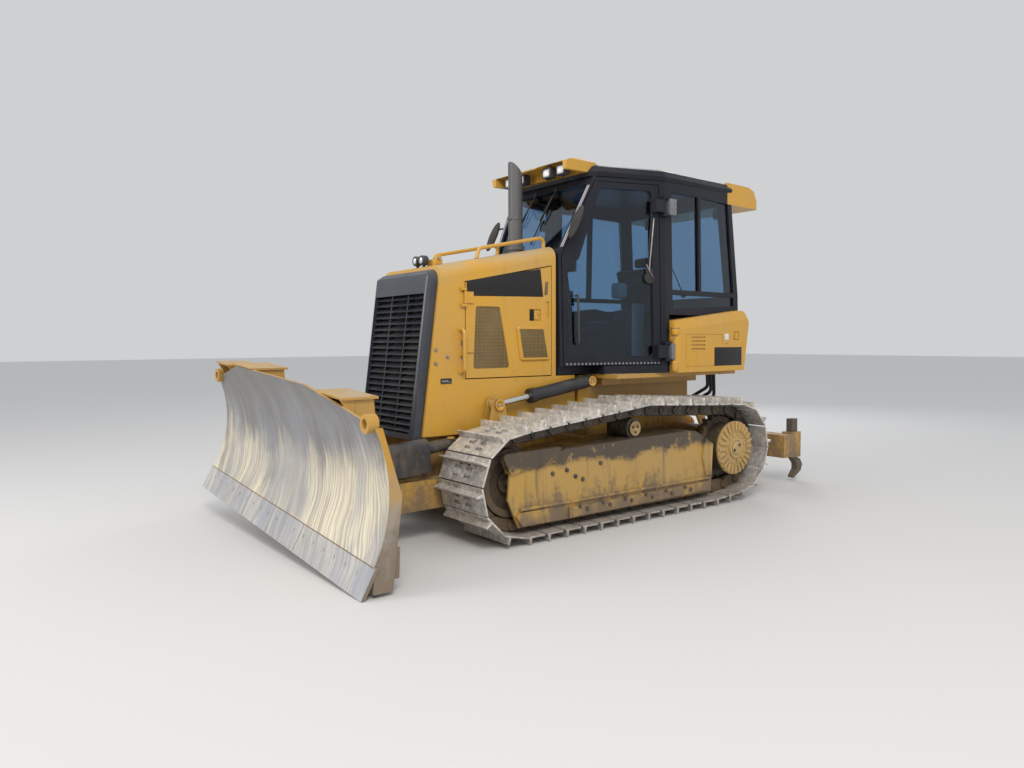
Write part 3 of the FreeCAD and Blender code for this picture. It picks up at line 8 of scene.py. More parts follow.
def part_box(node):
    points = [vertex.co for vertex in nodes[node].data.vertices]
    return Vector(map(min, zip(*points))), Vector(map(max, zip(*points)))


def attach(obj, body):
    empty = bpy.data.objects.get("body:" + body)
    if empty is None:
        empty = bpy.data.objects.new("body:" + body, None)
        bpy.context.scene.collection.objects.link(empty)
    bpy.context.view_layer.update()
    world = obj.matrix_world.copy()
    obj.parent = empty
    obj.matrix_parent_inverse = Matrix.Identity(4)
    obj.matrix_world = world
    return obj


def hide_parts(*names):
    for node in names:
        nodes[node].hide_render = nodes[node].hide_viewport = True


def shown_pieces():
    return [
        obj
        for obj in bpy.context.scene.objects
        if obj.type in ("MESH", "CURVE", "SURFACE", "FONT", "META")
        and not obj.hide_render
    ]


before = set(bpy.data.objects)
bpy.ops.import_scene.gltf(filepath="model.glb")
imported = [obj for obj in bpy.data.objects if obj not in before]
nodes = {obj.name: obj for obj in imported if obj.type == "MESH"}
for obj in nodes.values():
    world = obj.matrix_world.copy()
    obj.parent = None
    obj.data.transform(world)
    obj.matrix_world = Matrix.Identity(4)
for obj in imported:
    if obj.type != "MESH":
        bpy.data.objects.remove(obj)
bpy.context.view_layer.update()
print("frame loaded:", len(nodes), "nodes")

camera = {
    "place": (4.250, 4.962, 1.351),
    "yaw": -2.227,
    "pitch": -0.056,
    "roll": -0.004,
    "lens": 27.13,
    "sensor": 36.0,
}


def addCamera():
    data = bpy.data.cameras.new("camera")
    data.lens = camera["lens"]
    data.sensor_width = camera["sensor"]
    data.clip_end = 200
    view = bpy.data.objects.new("camera", data)
    bpy.context.scene.collection.objects.link(view)
    turn = Matrix.Rotation(camera["yaw"] - math.pi / 2, 4, "Z")
    nod = Matrix.Rotation(math.pi / 2 + camera["pitch"], 4, "X")
    bank = Matrix.Rotation(camera["roll"], 4, "Z")
    view.matrix_world = Matrix.Translation(camera["place"]) @ turn @ nod @ bank
    bpy.context.scene.camera = view


def addLight(name, place, aim, size, watts, tint):
    data = bpy.data.lights.new(name, "AREA")
    data.shape = "DISK"
    data.size = size
    data.energy = watts
    data.color = tint
    lamp = bpy.data.objects.new(name, data)
    bpy.context.scene.collection.objects.link(lamp)
    lamp.location = place
    lamp.rotation_euler = (Vector(aim) - Vector(place)).to_track_quat("-Z", "Y").to_euler()
    lamp.visible_camera = False
    lamp.visible_transmission = False


addCamera()

# Shader groups, each built once and used by several materials


def newGroup(name, inputs, outputs):
    tree = bpy.data.node_groups.new(name, "ShaderNodeTree")
    for label, value in inputs:
        socket = tree.interface.new_socket(name=label, in_out="INPUT", socket_type="NodeSocketFloat")
        socket.default_value = value
    for label in outputs:
        tree.interface.new_socket(name=label, in_out="OUTPUT", socket_type="NodeSocketFloat")
    return tree, tree.nodes.new("NodeGroupInput"), tree.nodes.new("NodeGroupOutput")


def feed(tree, socket, value):
    if isinstance(value, bpy.types.NodeSocket):
        tree.links.new(value, socket)
    else:
        socket.default_value = value


def calc(tree, operation, first, second=0.0, third=0.0, clamp=False):
    node = tree.nodes.new("ShaderNodeMath")
    node.operation = operation
    node.use_clamp = clamp
    for socket, value in zip(node.inputs, (first, second, third)):
        feed(tree, socket, value)
    return node.outputs[0]


def spread(tree, value, low, high, start=0.0, end=1.0):
    # smooth step of a value from low to high
    node = tree.nodes.new("ShaderNodeMapRange")
    node.interpolation_type = "SMOOTHSTEP"
    feed(tree, node.inputs["Value"], value)
    for label, number in (("From Min", low), ("From Max", high), ("To Min", start), ("To Max", end)):
        feed(tree, node.inputs[label], number)
    return node.outputs["Result"]


def cloud(tree, vector, scale, detail=4.0, rough=0.55, twist=0.0):
    node = tree.nodes.new("ShaderNodeTexNoise")
    feed(tree, node.inputs["Vector"], vector)
    feed(tree, node.inputs["Scale"], scale)
    node.inputs["Detail"].default_value = detail
    node.inputs["Roughness"].default_value = rough
    node.inputs["Distortion"].default_value = twist
    return node.outputs["Fac"]


def stretched(tree, vector, factors):
    node = tree.nodes.new("ShaderNodeMapping")
    node.inputs["Scale"].default_value = factors
    feed(tree, node.inputs["Vector"], vector)
    return node.outputs["Vector"]


def blendColour(tree, amount, first, second):
    node = tree.nodes.new("ShaderNodeMix")
    node.data_type = "RGBA"
    feed(tree, node.inputs["Factor"], amount)
    for socket, value in ((node.inputs[6], first), (node.inputs[7], second)):
        if isinstance(value, bpy.types.NodeSocket):
            tree.links.new(value, socket)
        else:
            socket.default_value = (*value, 1.0)
    return node.outputs[2]


def splitAxes(tree, vector):
    node = tree.nodes.new("ShaderNodeSeparateXYZ")
    feed(tree, node.inputs[0], vector)
    return node.outputs


def makeDustGroup():
    # dust lies thickest on what faces up, in uneven patches
    tree, given, result = newGroup("dustFilm", [("Scale", 3.0), ("Amount", 0.5)], ["Mask"])
    coords = tree.nodes.new("ShaderNodeTexCoord")
    up = spread(tree, splitAxes(tree, coords.outputs["Normal"])[2], 0.1, 0.95)
    patches = spread(tree, cloud(tree, coords.outputs["Object"], given.outputs["Scale"], 6.0, 0.62), 0.34, 0.72)
    fine = cloud(tree, coords.outputs["Object"], 55.0, 3.0)
    settled = calc(tree, "MULTIPLY_ADD", up, 0.75, 0.22)
    mask = calc(tree, "MULTIPLY", patches, settled)
    mask = calc(tree, "MULTIPLY", mask, calc(tree, "ADD", fine, 0.6))
    mask = calc(tree, "MULTIPLY", mask, given.outputs["Amount"], clamp=True)
    tree.links.new(mask, result.inputs["Mask"])
    return tree


def makeMudGroup():
    # dried mud that thins out with height above the ground
    tree, given, result = newGroup("driedMud", [("Height", 0.8), ("Amount", 0.6)], ["Mask"])
    coords = tree.nodes.new("ShaderNodeTexCoord").outputs["Object"]
    height = splitAxes(tree, coords)[2]
    low = calc(tree, "SUBTRACT", 1.0, calc(tree, "DIVIDE", height, given.outputs["Height"]), clamp=True)
    streaks = cloud(tree, stretched(tree, coords, (7, 7, 2.2)), 1.0, 6.0, 0.65, 0.4)
    lumps = cloud(tree, coords, 26.0, 4.0, 0.7)
    both = calc(tree, "MULTIPLY_ADD", streaks, 0.7, calc(tree, "MULTIPLY", lumps, 0.3))
    mask = spread(tree, calc(tree, "MULTIPLY_ADD", low, 0.35, both), 0.56, 0.78)
    mask = calc(tree, "MULTIPLY", mask, given.outputs["Amount"], clamp=True)
    tree.links.new(mask, result.inputs["Mask"])
    return tree


def makeChipGroup():
    # small chips and scratches through the paint
    tree, given, result = newGroup("paintChips", [("Scale", 18.0), ("Amount", 0.3)], ["Mask"])
    coords = tree.nodes.new("ShaderNodeTexCoord").outputs["Object"]
    spots = cloud(tree, coords, given.outputs["Scale"], 8.0, 0.72)
    where = cloud(tree, coords, 2.3, 3.0)
    scratch = cloud(tree, stretched(tree, coords, (70, 60, 5)), 1.0, 3.0, 0.5, 0.6)
    chips = spread(tree, calc(tree, "MULTIPLY_ADD", where, 0.24, spots), 0.80, 0.83)
    lines = spread(tree, calc(tree, "MULTIPLY_ADD", where, 0.2, scratch), 0.83, 0.88)
    mask = calc(tree, "MULTIPLY", calc(tree, "MAXIMUM", chips, lines), given.outputs["Amount"], clamp=True)
    tree.links.new(mask, result.inputs["Mask"])
    return tree


def makeGrainGroup():
    # height of orange peel, cast grain and dents
    tree, given, result = newGroup("surfaceGrain", [("Fine", 240.0), ("Coarse", 9.0), ("Dents", 0.4)], ["Height"])
    coords = tree.nodes.new("ShaderNodeTexCoord").outputs["Object"]
    fine = cloud(tree, coords, given.outputs["Fine"], 3.0)
    coarse = cloud(tree, coords, given.outputs["Coarse"], 4.0)
    height = calc(tree, "MULTIPLY_ADD", fine, 0.15, calc(tree, "MULTIPLY", coarse, given.outputs["Dents"]))
    tree.links.new(height, result.inputs["Height"])
    return tree


groups = {
    "dust": makeDustGroup(),
    "mud": makeMudGroup(),
    "chips": makeChipGroup(),
    "grain": makeGrainGroup(),
}
dustColour = (0.40, 0.325, 0.225)
mudColour = (0.19, 0.135, 0.085)
rustColour = (0.20, 0.085, 0.035)
# dark colour of packed soil, also used as painted shade
soilColour = (0.055, 0.043, 0.033)


def useGroup(tree, name, **values):
    node = tree.nodes.new("ShaderNodeGroup")
    node.node_tree = groups[name]
    for label, value in values.items():
        node.inputs[label].default_value = value
    return node.outputs[0]


def startMaterial(name):
    material = bpy.data.materials.new(name)
    material.use_nodes = True
    tree = material.node_tree
    return material, tree, tree.nodes["Principled BSDF"]


def bumpFrom(tree, shader, height, strength, distance):
    bump = tree.nodes.new("ShaderNodeBump")
    bump.inputs["Strength"].default_value = strength
    bump.inputs["Distance"].default_value = distance
    tree.links.new(height, bump.inputs["Height"])
    tree.links.new(bump.outputs["Normal"], shader.inputs["Normal"])


def soilAbove(tree, coords, height):
    # packed soil and painted shade above an uneven line, in one dark colour
    line = calc(tree, "MULTIPLY_ADD", cloud(tree, coords, 4.5, 8.0, 0.75), 0.26, splitAxes(tree, coords)[2])
    bare = spread(tree, cloud(tree, coords, 7.0, 6.0, 0.7), 0.36, 0.44, 0.25, 0.94)
    return calc(tree, "MULTIPLY", spread(tree, line, height + 0.10, height + 0.16), bare)


def soilInside(tree, coords, limit):
    # soil and painted shade on all that lies nearer the middle than a cover's face
    y = calc(tree, "ABSOLUTE", splitAxes(tree, coords)[1])
    patches = spread(tree, cloud(tree, coords, 6.0, 5.0, 0.65), 0.3, 0.5, 0.7, 0.95)
    return calc(tree, "MULTIPLY", spread(tree, y, limit, limit - 0.012), patches)


def paintedMetal(name, colour, settings):
    # paint with uneven colour, chips down to metal, dust on top and dried mud low down; where set, soil with painted
    # shade above a line or behind a cover's face
    material, tree, shader = startMaterial(name)
    coords = tree.nodes.new("ShaderNodeTexCoord").outputs["Object"]
    shade = spread(tree, cloud(tree, coords, 1.7, 5.0, 0.6), 0.3, 0.7)
    faded = tuple(min(1.0, c * 0.86 + 0.035) for c in colour)
    mixed = blendColour(tree, calc(tree, "MULTIPLY", shade, settings["fade"]), colour, faded)
    runs = spread(tree, cloud(tree, stretched(tree, coords, (16, 16, 0.9)), 1.0, 5.0, 0.6), 0.56, 0.74)
    mixed = blendColour(tree, calc(tree, "MULTIPLY", runs, settings["runs"]), mixed, settings["runColour"])
    chips = useGroup(tree, "chips", Amount=settings["chips"])
    mixed = blendColour(tree, chips, mixed, settings["under"])
    dust = useGroup(tree, "dust", Scale=settings["dustScale"], Amount=settings["dust"])
    mixed = blendColour(tree, dust, mixed, dustColour)
    mud = useGroup(tree, "mud", Height=settings["mudHeight"], Amount=settings["mud"])
    mixed = blendColour(tree, mud, mixed, mudColour)
    # soil and painted shade above the given height
    if settings["soil"]:
        mixed = blendColour(tree, soilAbove(tree, coords, settings["soil"]), mixed, soilColour)
    # soil and painted shade on what lies behind a cover's face
    if settings["inside"]:
        mixed = blendColour(tree, soilInside(tree, coords, settings["inside"]), mixed, soilColour)
    tree.links.new(mixed, shader.inputs["Base Color"])
    dull = calc(tree, "ADD", dust, mud, clamp=True)
    gloss = cloud(tree, coords, 6.0, 4.0)
    rough = spread(tree, calc(tree, "MULTIPLY_ADD", gloss, 0.35, dull), 0.0, 1.0, settings["rough"], 0.85)
    tree.links.new(rough, shader.inputs["Roughness"])
    shader.inputs["Coat Weight"].default_value = settings["coat"]
    shader.inputs["Specular IOR Level"].default_value = settings["specular"]
    shader.inputs["Coat Roughness"].default_value = 0.25
    grain = useGroup(tree, "grain", Fine=320.0, Coarse=settings["coarse"], Dents=settings["dents"])
    bumpFrom(tree, shader, calc(tree, "MULTIPLY_ADD", mud, 0.8, grain), settings["bump"], 0.004)
    return material


paintLook = {
    "fade": 0.8, "chips": 0.7, "under": (0.12, 0.10, 0.09), "dustScale": 2.6, "dust": 0.45, "mudHeight": 0.9,
    "mud": 0.35, "rough": 0.34, "coat": 0.15, "coarse": 5.0, "dents": 0.25, "bump": 0.25, "runs": 0.25,
    "runColour": (0.34, 0.22, 0.08), "soil": 0.0, "inside": 0.0, "specular": 0.5,
}


def look(**changes):
    return {**paintLook, **changes}


def bareMetal(name, colour, settings):
    # worn steel: dark and light patches, rubbed spots, dust above and mud below
    material, tree, shader = startMaterial(name)
    coords = tree.nodes.new("ShaderNodeTexCoord").outputs["Object"]
    patches = spread(tree, cloud(tree, coords, 7.0, 7.0, 0.68), 0.32, 0.62)
    dark = tuple(c * settings["dark"] for c in colour)
    mixed = blendColour(tree, patches, dark, colour)
    rubbed = spread(tree, cloud(tree, coords, 31.0, 5.0, 0.6), 0.48, 0.64)
    light = tuple(min(1.0, c * 1.45 + 0.02) for c in colour)
    mixed = blendColour(tree, calc(tree, "MULTIPLY", rubbed, 0.6), mixed, light)
    stain = spread(tree, cloud(tree, coords, 11.0, 5.0, 0.65), 0.55, 0.70)
    mixed = blendColour(tree, calc(tree, "MULTIPLY", stain, settings["rust"]), mixed, rustColour)
    dust = useGroup(tree, "dust", Scale=4.0, Amount=settings["dust"])
    mud = useGroup(tree, "mud", Height=settings["mudHeight"], Amount=settings["mud"])
    mixed = blendColour(tree, dust, mixed, dustColour)
    mixed = blendColour(tree, mud, mixed, mudColour)
    tree.links.new(mixed, shader.inputs["Base Color"])
    shader.inputs["Metallic"].default_value = settings["metallic"]
    cover = calc(tree, "ADD", dust, mud, clamp=True)
    tree.links.new(spread(tree, cover, 0.0, 1.0, settings["rough"], 0.9), shader.inputs["Roughness"])
    grain = useGroup(tree, "grain", Fine=180.0, Coarse=14.0, Dents=0.6)
    bumpFrom(tree, shader, calc(tree, "ADD", grain, mud), settings["bump"], 0.004)
    return material


steelLook = {"rough": 0.45, "metallic": 0.5, "dust": 0.4, "mudHeight": 0.35, "mud": 0.35, "rust": 0.2, "bump": 0.5,
             "dark": 0.5}


def worn(**changes):
    return {**steelLook, **changes}


def plainPlastic(name, colour, rough, dust=0.35):
    material, tree, shader = startMaterial(name)
    coords = tree.nodes.new("ShaderNodeTexCoord").outputs["Object"]
    shade = cloud(tree, coords, 5.0, 5.0)
    mixed = blendColour(tree, calc(tree, "MULTIPLY", shade, 0.5), colour, tuple(c * 1.5 + 0.01 for c in colour))
    film = useGroup(tree, "dust", Scale=3.5, Amount=dust)
    mixed = blendColour(tree, film, mixed, dustColour)
    tree.links.new(mixed, shader.inputs["Base Color"])
    tree.links.new(spread(tree, film, 0.0, 1.0, rough, 0.9), shader.inputs["Roughness"])
    grain = useGroup(tree, "grain", Fine=420.0, Coarse=20.0, Dents=0.1)
    bumpFrom(tree, shader, grain, 0.25, 0.002)
    return material


def wovenCloth(name, colour):
    # two crossed waves make the weave
    material, tree, shader = startMaterial(name)
    coords = tree.nodes.new("ShaderNodeTexCoord").outputs["Object"]
    x, y, z = splitAxes(tree, coords)
    along = calc(tree, "SINE", calc(tree, "MULTIPLY", calc(tree, "ADD", x, z), 1900.0))
    across = calc(tree, "SINE", calc(tree, "MULTIPLY", y, 1900.0))
    weave = calc(tree, "MULTIPLY_ADD", calc(tree, "MULTIPLY", along, across), 0.5, 0.5)
    worn = spread(tree, cloud(tree, coords, 9.0, 5.0), 0.35, 0.7)
    mixed = blendColour(tree, weave, tuple(c * 0.6 for c in colour), tuple(c * 1.5 for c in colour))
    mixed = blendColour(tree, calc(tree, "MULTIPLY", worn, 0.3), mixed, (0.14, 0.12, 0.10))
    tree.links.new(mixed, shader.inputs["Base Color"])
    shader.inputs["Roughness"].default_value = 0.92
    shader.inputs["Sheen Weight"].default_value = 0.3
    bumpFrom(tree, shader, weave, 0.5, 0.001)
    return material


def bladeSteel(name, settings):
    # the mouldboard's face is rubbed bright in long curved streaks, and the rest of the blade is painted
    material, tree, shader = startMaterial(name)
    coordinates = tree.nodes.new("ShaderNodeTexCoord")
    coords = coordinates.outputs["Object"]
    x, y, z = splitAxes(tree, coords)
    bend = calc(tree, "MULTIPLY", cloud(tree, stretched(tree, coords, (0, 0.9, 1.3)), 1.0, 2.0), 0.45)
    arc = calc(tree, "MULTIPLY", calc(tree, "MULTIPLY", z, z), 0.16)
    across = calc(tree, "ADD", calc(tree, "ADD", y, bend), arc)
    streakPlace = tree.nodes.new("ShaderNodeCombineXYZ")
    tree.links.new(calc(tree, "MULTIPLY", across, settings["streaks"]), streakPlace.inputs[0])
    tree.links.new(calc(tree, "MULTIPLY", z, 0.16), streakPlace.inputs[2])
    broad = cloud(tree, stretched(tree, coords, (0, 0.8, 0.9)), 1.7, 4.0, 0.6)
    narrow = cloud(tree, streakPlace.outputs[0], 2.6, 6.0, 0.66)
    hair = cloud(tree, streakPlace.outputs[0], 11.0, 5.0, 0.7)
    lowBand = spread(tree, z, 1.06, 0.48)
    wear = calc(tree, "MULTIPLY_ADD", lowBand, 0.46, calc(tree, "MULTIPLY_ADD", narrow, 0.75, broad))
    bright = spread(tree, wear, 1.02, 1.42)
    steel = blendColour(tree, bright, settings["grey"], settings["cream"])
    fineLine = calc(tree, "MULTIPLY", spread(tree, hair, 0.56, 0.42), 0.5)
    steel = blendColour(tree, fineLine, steel, settings["line"])
    blue = spread(tree, cloud(tree, stretched(tree, coords, (1, 2.2, 0.8)), 1.4, 4.0), 0.46, 0.64)
    steel = blendColour(tree, calc(tree, "MULTIPLY", blue, 0.5), steel, settings["blue"])
    high = calc(tree, "MULTIPLY", spread(tree, calc(tree, "MULTIPLY_ADD", broad, 0.5, z), 1.05, 1.38), 0.75)
    steel = blendColour(tree, high, steel, settings["high"])
    facing = splitAxes(tree, coordinates.outputs["Normal"])[0]
    ahead = spread(tree, x, 2.24, 2.26)
    inside = spread(tree, z, 1.20, 1.17)
    face = calc(tree, "MULTIPLY", calc(tree, "MULTIPLY", spread(tree, facing, 0.45, 0.55), ahead), inside)
    paint = blendColour(tree, useGroup(tree, "dust", Amount=0.8), settings["paint"], dustColour)
    paint = blendColour(tree, useGroup(tree, "chips", Scale=9.0, Amount=0.8), paint, rustColour)
    worn = spread(tree, calc(tree, "MULTIPLY_ADD", narrow, -0.5, z), 0.42, 0.10)
    paint = blendColour(tree, worn, paint, settings["low"])
    paint = blendColour(tree, useGroup(tree, "mud", Height=0.7, Amount=0.8), paint, mudColour)
    tree.links.new(blendColour(tree, face, paint, steel), shader.inputs["Base Color"])
    tree.links.new(calc(tree, "MULTIPLY", face, 0.25), shader.inputs["Metallic"])
    tree.links.new(spread(tree, calc(tree, "MULTIPLY", face, narrow), 0.0, 0.8, 0.55, 0.36), shader.inputs["Roughness"])
    grain = useGroup(tree, "grain", Fine=260.0, Coarse=5.0, Dents=0.5)
    bumpFrom(tree, shader, calc(tree, "MULTIPLY_ADD", narrow, 0.5, grain), 0.2, 0.003)
    return material


bladeLook = {
    "streaks": 5.0, "grey": (0.25, 0.24, 0.235), "cream": (0.80, 0.71, 0.54), "blue": (0.33, 0.34, 0.38),
    "line": (0.15, 0.145, 0.15), "high": (0.19, 0.18, 0.16), "paint": (0.50, 0.26, 0.03), "low": (0.30, 0.27, 0.23),
}
edgeLook = {
    **bladeLook, "grey": (0.29, 0.29, 0.315), "cream": (0.56, 0.53, 0.49), "blue": (0.33, 0.35, 0.42),
    "line": (0.21, 0.21, 0.23), "paint": (0.34, 0.32, 0.30),
}


def tintedGlass(name, colour):
    material, tree, shader = startMaterial(name)
    coords = tree.nodes.new("ShaderNodeTexCoord").outputs["Object"]
    ripple = cloud(tree, coords, 1.2, 2.0)
    tree.links.new(blendColour(tree, ripple, colour, tuple(c * 0.93 for c in colour)), shader.inputs["Base Color"])
    shader.inputs["Transmission Weight"].default_value = 1.0
    shader.inputs["IOR"].default_value = 1.45
    low = spread(tree, splitAxes(tree, coords)[2], 1.45, 1.15)
    smear = calc(tree, "MULTIPLY", spread(tree, cloud(tree, coords, 3.0, 5.0), 0.45, 0.75), low)
    tree.links.new(spread(tree, smear, 0.0, 1.0, 0.0, 0.12), shader.inputs["Roughness"])
    bumpFrom(tree, shader, ripple, 0.02, 0.002)
    return material


def brightRod(name):
    material, tree, shader = startMaterial(name)
    coords = tree.nodes.new("ShaderNodeTexCoord").outputs["Object"]
    shader.inputs["Base Color"].default_value = (0.72, 0.72, 0.73, 1.0)
    shader.inputs["Metallic"].default_value = 1.0
    tree.links.new(spread(tree, cloud(tree, coords, 60.0, 4.0), 0.3, 0.8, 0.12, 0.35), shader.inputs["Roughness"])
    return material


def lampFace(name):
    # a fluted clear cover over a bright bowl
    material, tree, shader = startMaterial(name)
    coords = tree.nodes.new("ShaderNodeTexCoord").outputs["Object"]
    y = splitAxes(tree, coords)[1]
    flutes = calc(tree, "SINE", calc(tree, "MULTIPLY", y, 900.0))
    tree.links.new(blendColour(tree, spread(tree, flutes, -1.0, 1.0), (0.50, 0.53, 0.56), (0.92, 0.93, 0.95)),
                   shader.inputs["Base Color"])
    shader.inputs["Metallic"].default_value = 0.3
    shader.inputs["Roughness"].default_value = 0.14
    shader.inputs["Coat Weight"].default_value = 1.0
    bumpFrom(tree, shader, flutes, 0.4, 0.002)
    return material


yellowPaint = (0.62, 0.325, 0.024)
blackPaint = (0.010, 0.012, 0.020)
tanDirt = (0.53, 0.345, 0.12)
materials = {
    "yellow": paintedMetal("machineYellow", yellowPaint, look()),
    "hoodTop": paintedMetal("hoodYellow", yellowPaint, look(dust=1.0, dustScale=1.3, fade=1.0)),
    "lowYellow": paintedMetal("muddyYellow", (0.50, 0.27, 0.03), look(mud=0.9, mudHeight=0.8, chips=1.0, dust=0.8,
                                                                     runs=0.7, runColour=(0.13, 0.09, 0.05))),
    # the roller frames' upper part gets soil and painted shade
    "frameYellow": paintedMetal("rollerFrameYellow", (0.47, 0.275, 0.05),
                                look(mud=1.0, mudHeight=0.42, chips=1.0, dust=0.6, runs=0.75, soil=0.50,
                                     runColour=(0.12, 0.08, 0.045))),
    "drive": paintedMetal("driveYellow", tanDirt, look(mud=0.3, mudHeight=0.7, dust=0.4, runs=0.3, rough=0.6)),
    # the sprocket's body behind its cover gets soil and painted shade
    "sprocket": paintedMetal("sprocketTan", tanDirt, look(mud=0.3, mudHeight=0.7, dust=0.4, runs=0.3, rough=0.6,
                                                          inside=0.955)),
    "black": paintedMetal("satinBlack", blackPaint, look(under=(0.06, 0.055, 0.05), fade=0.15, dust=0.07, mud=0.15,
                                                         runs=0.0, rough=0.34, specular=0.22, coat=0.08)),
    "grille": paintedMetal("grilleBlack", (0.020, 0.026, 0.040), look(fade=0.4, rough=0.28, dust=0.12, coat=0.3,
                                                                      runs=0.0)),
    "guard": paintedMetal("guardBlack", (0.018, 0.021, 0.027), look(under=(0.10, 0.09, 0.08), fade=0.4, dust=0.3,
                                                                    mud=0.5, runs=0.0, chips=0.9)),
    "grey": paintedMetal("hingeGrey", (0.16, 0.17, 0.19), look(dust=0.2, runs=0.1, rough=0.45)),
    "exhaust": paintedMetal("exhaustGrey", (0.085, 0.085, 0.09), look(under=(0.16, 0.09, 0.05), rough=0.5, runs=0.3,
                                                                      runColour=(0.12, 0.06, 0.03), dust=0.1)),
    "track": bareMetal("trackSteel", (0.64, 0.61, 0.57), worn(dust=0.25, rust=0.08, mud=0.45, metallic=0.4,
                                                              mudHeight=0.22, dark=0.62, rough=0.4)),
    "bolt": bareMetal("boltSteel", (0.42, 0.40, 0.37), worn(dust=0.2, mud=0.2, metallic=0.7)),
    "chain": bareMetal("chainSteel", (0.10, 0.085, 0.07), worn(rough=0.6, mudHeight=1.0, mud=0.9)),
    "cast": bareMetal("castDark", (0.07, 0.068, 0.066), worn(rough=0.6, metallic=0.2, mudHeight=0.9, mud=0.5)),
    "edge": bladeSteel("edgeSteel", edgeLook),
    "rod": brightRod("rodChrome"),
    "glass": tintedGlass("cabGlass", (0.33, 0.50, 0.67)),
    "plastic": plainPlastic("cabPlastic", (0.035, 0.036, 0.040), 0.5, 0.1),
    "paleTrim": plainPlastic("cabPaleTrim", (0.34, 0.38, 0.40), 0.5, 0.1),
    "rubber": plainPlastic("blackRubber", (0.016, 0.016, 0.017), 0.7, 0.15),
    "blank": plainPlastic("blankPlate", (0.005, 0.005, 0.006), 0.45, 0.03),
    "whitePlate": plainPlastic("blankWhitePlate", (0.62, 0.62, 0.60), 0.4, 0.2),
    # dusty screen colour, also used as painted shade in the engine door's vents
    "screen": plainPlastic("dustyScreen", (0.13, 0.085, 0.030), 0.8, 0.5),
    "screenWire": plainPlastic("screenWire", (0.34, 0.225, 0.075), 0.8, 0.4),
    "trim": plainPlastic("paleTrimStrip", (0.42, 0.41, 0.46), 0.4, 0.1),
    "rust": bareMetal("rustySeam", (0.22, 0.12, 0.06), worn(rust=0.8, metallic=0.1, rough=0.8)),
    # near black, painted as the shade inside holes and recesses
    "hole": plainPlastic("deepBlack", (0.006, 0.006, 0.006), 0.9, 0.0),
    "cloth": wovenCloth("seatCloth", (0.045, 0.045, 0.052)),
    "lamp": lampFace("lampLens"),
    "blade": bladeSteel("bladeSteel", bladeLook),
}
print("materials made:", len(materials))

nodeLooks = {
    "main_frame": "lowYellow", "engine_block": "cast", "radiator_core": "cast", "hood_base": "yellow",
    "grille_frame": "grille", "grille": "grille", "hood": "hoodTop", "hood_rails": "yellow",
    "exhaust_stack": "exhaust", "cab_shell": "black", "cab_roof": "black", "roof_brow": "yellow",
    "roof_rear_cap": "yellow", "cab_glass": "glass", "seat_base": "plastic", "seat_cushions": "cloth",
    "cab_controls": "plastic", "side_boxes": "yellow", "fuel_tank": "yellow", "lamps": "plastic",
    "track_frames": "frameYellow", "sprockets": "sprocket", "idlers": "chain", "track_rollers": "chain",
    "track_left": "track", "track_right": "track", "door_left": "black", "door_right": "black",
    "door_left_glass": "glass", "door_right_glass": "glass", "engine_door_left": "yellow",
    "engine_door_right": "yellow", "push_frame": "lowYellow", "blade_swivel": "cast", "tower_cap": "yellow",
    "blade": "blade", "cutting_edge": "edge", "lifting_eyes": "lowYellow", "ripper_arms": "yellow",
    "ripper_links": "yellow", "ripper_beam": "lowYellow", "ripper_shanks": "cast", "platform": "lowYellow",
    "cross_members": "lowYellow", "blade_braces": "lowYellow",
    "lift_brackets": "yellow", "hoses": "rubber", "tilt_barrel": "yellow", "ripper_barrel": "yellow",
    "lift_barrel_left": "guard", "lift_barrel_right": "guard", "angle_barrel_left": "guard",
    "angle_barrel_right": "guard",
}


def dressNodes():
    for name, obj in nodes.items():
        obj.data.materials.clear()
        obj.data.materials.append(materials[nodeLooks.get(name, "rod")])


dressNodes()

# Ways of modelling that the pieces share


def clearSelection():
    if bpy.context.object and bpy.context.object.mode != "OBJECT":
        bpy.ops.object.mode_set(mode="OBJECT")
    bpy.ops.object.select_all(action="DESELECT")


def pick(piece):
    clearSelection()
    piece.select_set(True)
    bpy.context.view_layer.objects.active = piece


def settle(piece):
    # place, turn and size go into the mesh
    pick(piece)
    bpy.ops.object.transform_apply(location=True, rotation=True, scale=True)
    return piece


def paint(piece, kind):
    piece.data.materials.clear()
    piece.data.materials.append(materials[kind])
    return piece


def bevelEdges(piece, width, segments=2, angle=30):
    pick(piece)
    modifier = piece.modifiers.new("edges", "BEVEL")
    modifier.width = width
    modifier.segments = segments
    modifier.limit_method = "ANGLE"
    modifier.angle_limit = math.radians(angle)
    bpy.ops.object.modifier_apply(modifier="edges")
    bpy.ops.object.shade_smooth_by_angle(angle=math.radians(35))
    return piece


def block(low, high, kind, bevel=0.004, segments=2):
    low, high = Vector(low), Vector(high)
    clearSelection()
    bpy.ops.mesh.primitive_cube_add(size=1, location=(low + high) / 2, scale=high - low)
    piece = settle(bpy.context.object)
    return paint(bevelEdges(piece, bevel, segments), kind)


def turnTo(axis):
    return Vector(axis).to_track_quat("Z", "Y").to_euler()


def disc(centre, axis, radius, depth, kind, sides=24, bevel=0.002):
    # a short round piece lying along an axis
    clearSelection()
    bpy.ops.mesh.primitive_cylinder_add(vertices=sides, radius=radius, depth=depth, location=centre,
                                        rotation=turnTo(axis))
    piece = settle(bpy.context.object)
    return paint(bevelEdges(piece, bevel, 2), kind)


def rod(start, end, radius, kind, sides=12):
    start, end = Vector(start), Vector(end)
    return disc((start + end) / 2, end - start, radius, (end - start).length, kind, sides, radius * 0.3)


def ring(centre, axis, radius, thickness, kind, sides=28):
    clearSelection()
    bpy.ops.mesh.primitive_torus_add(location=centre, rotation=turnTo(axis), major_radius=radius,
                                     minor_radius=thickness, major_segments=sides, minor_segments=8)
    piece = settle(bpy.context.object)
    bpy.ops.object.shade_smooth()
    return paint(piece, kind)


def movedCopy(piece, matrix):
    copy = piece.copy()
    copy.data = piece.data.copy()
    copy.data.transform(matrix)
    bpy.context.scene.collection.objects.link(copy)
    return copy


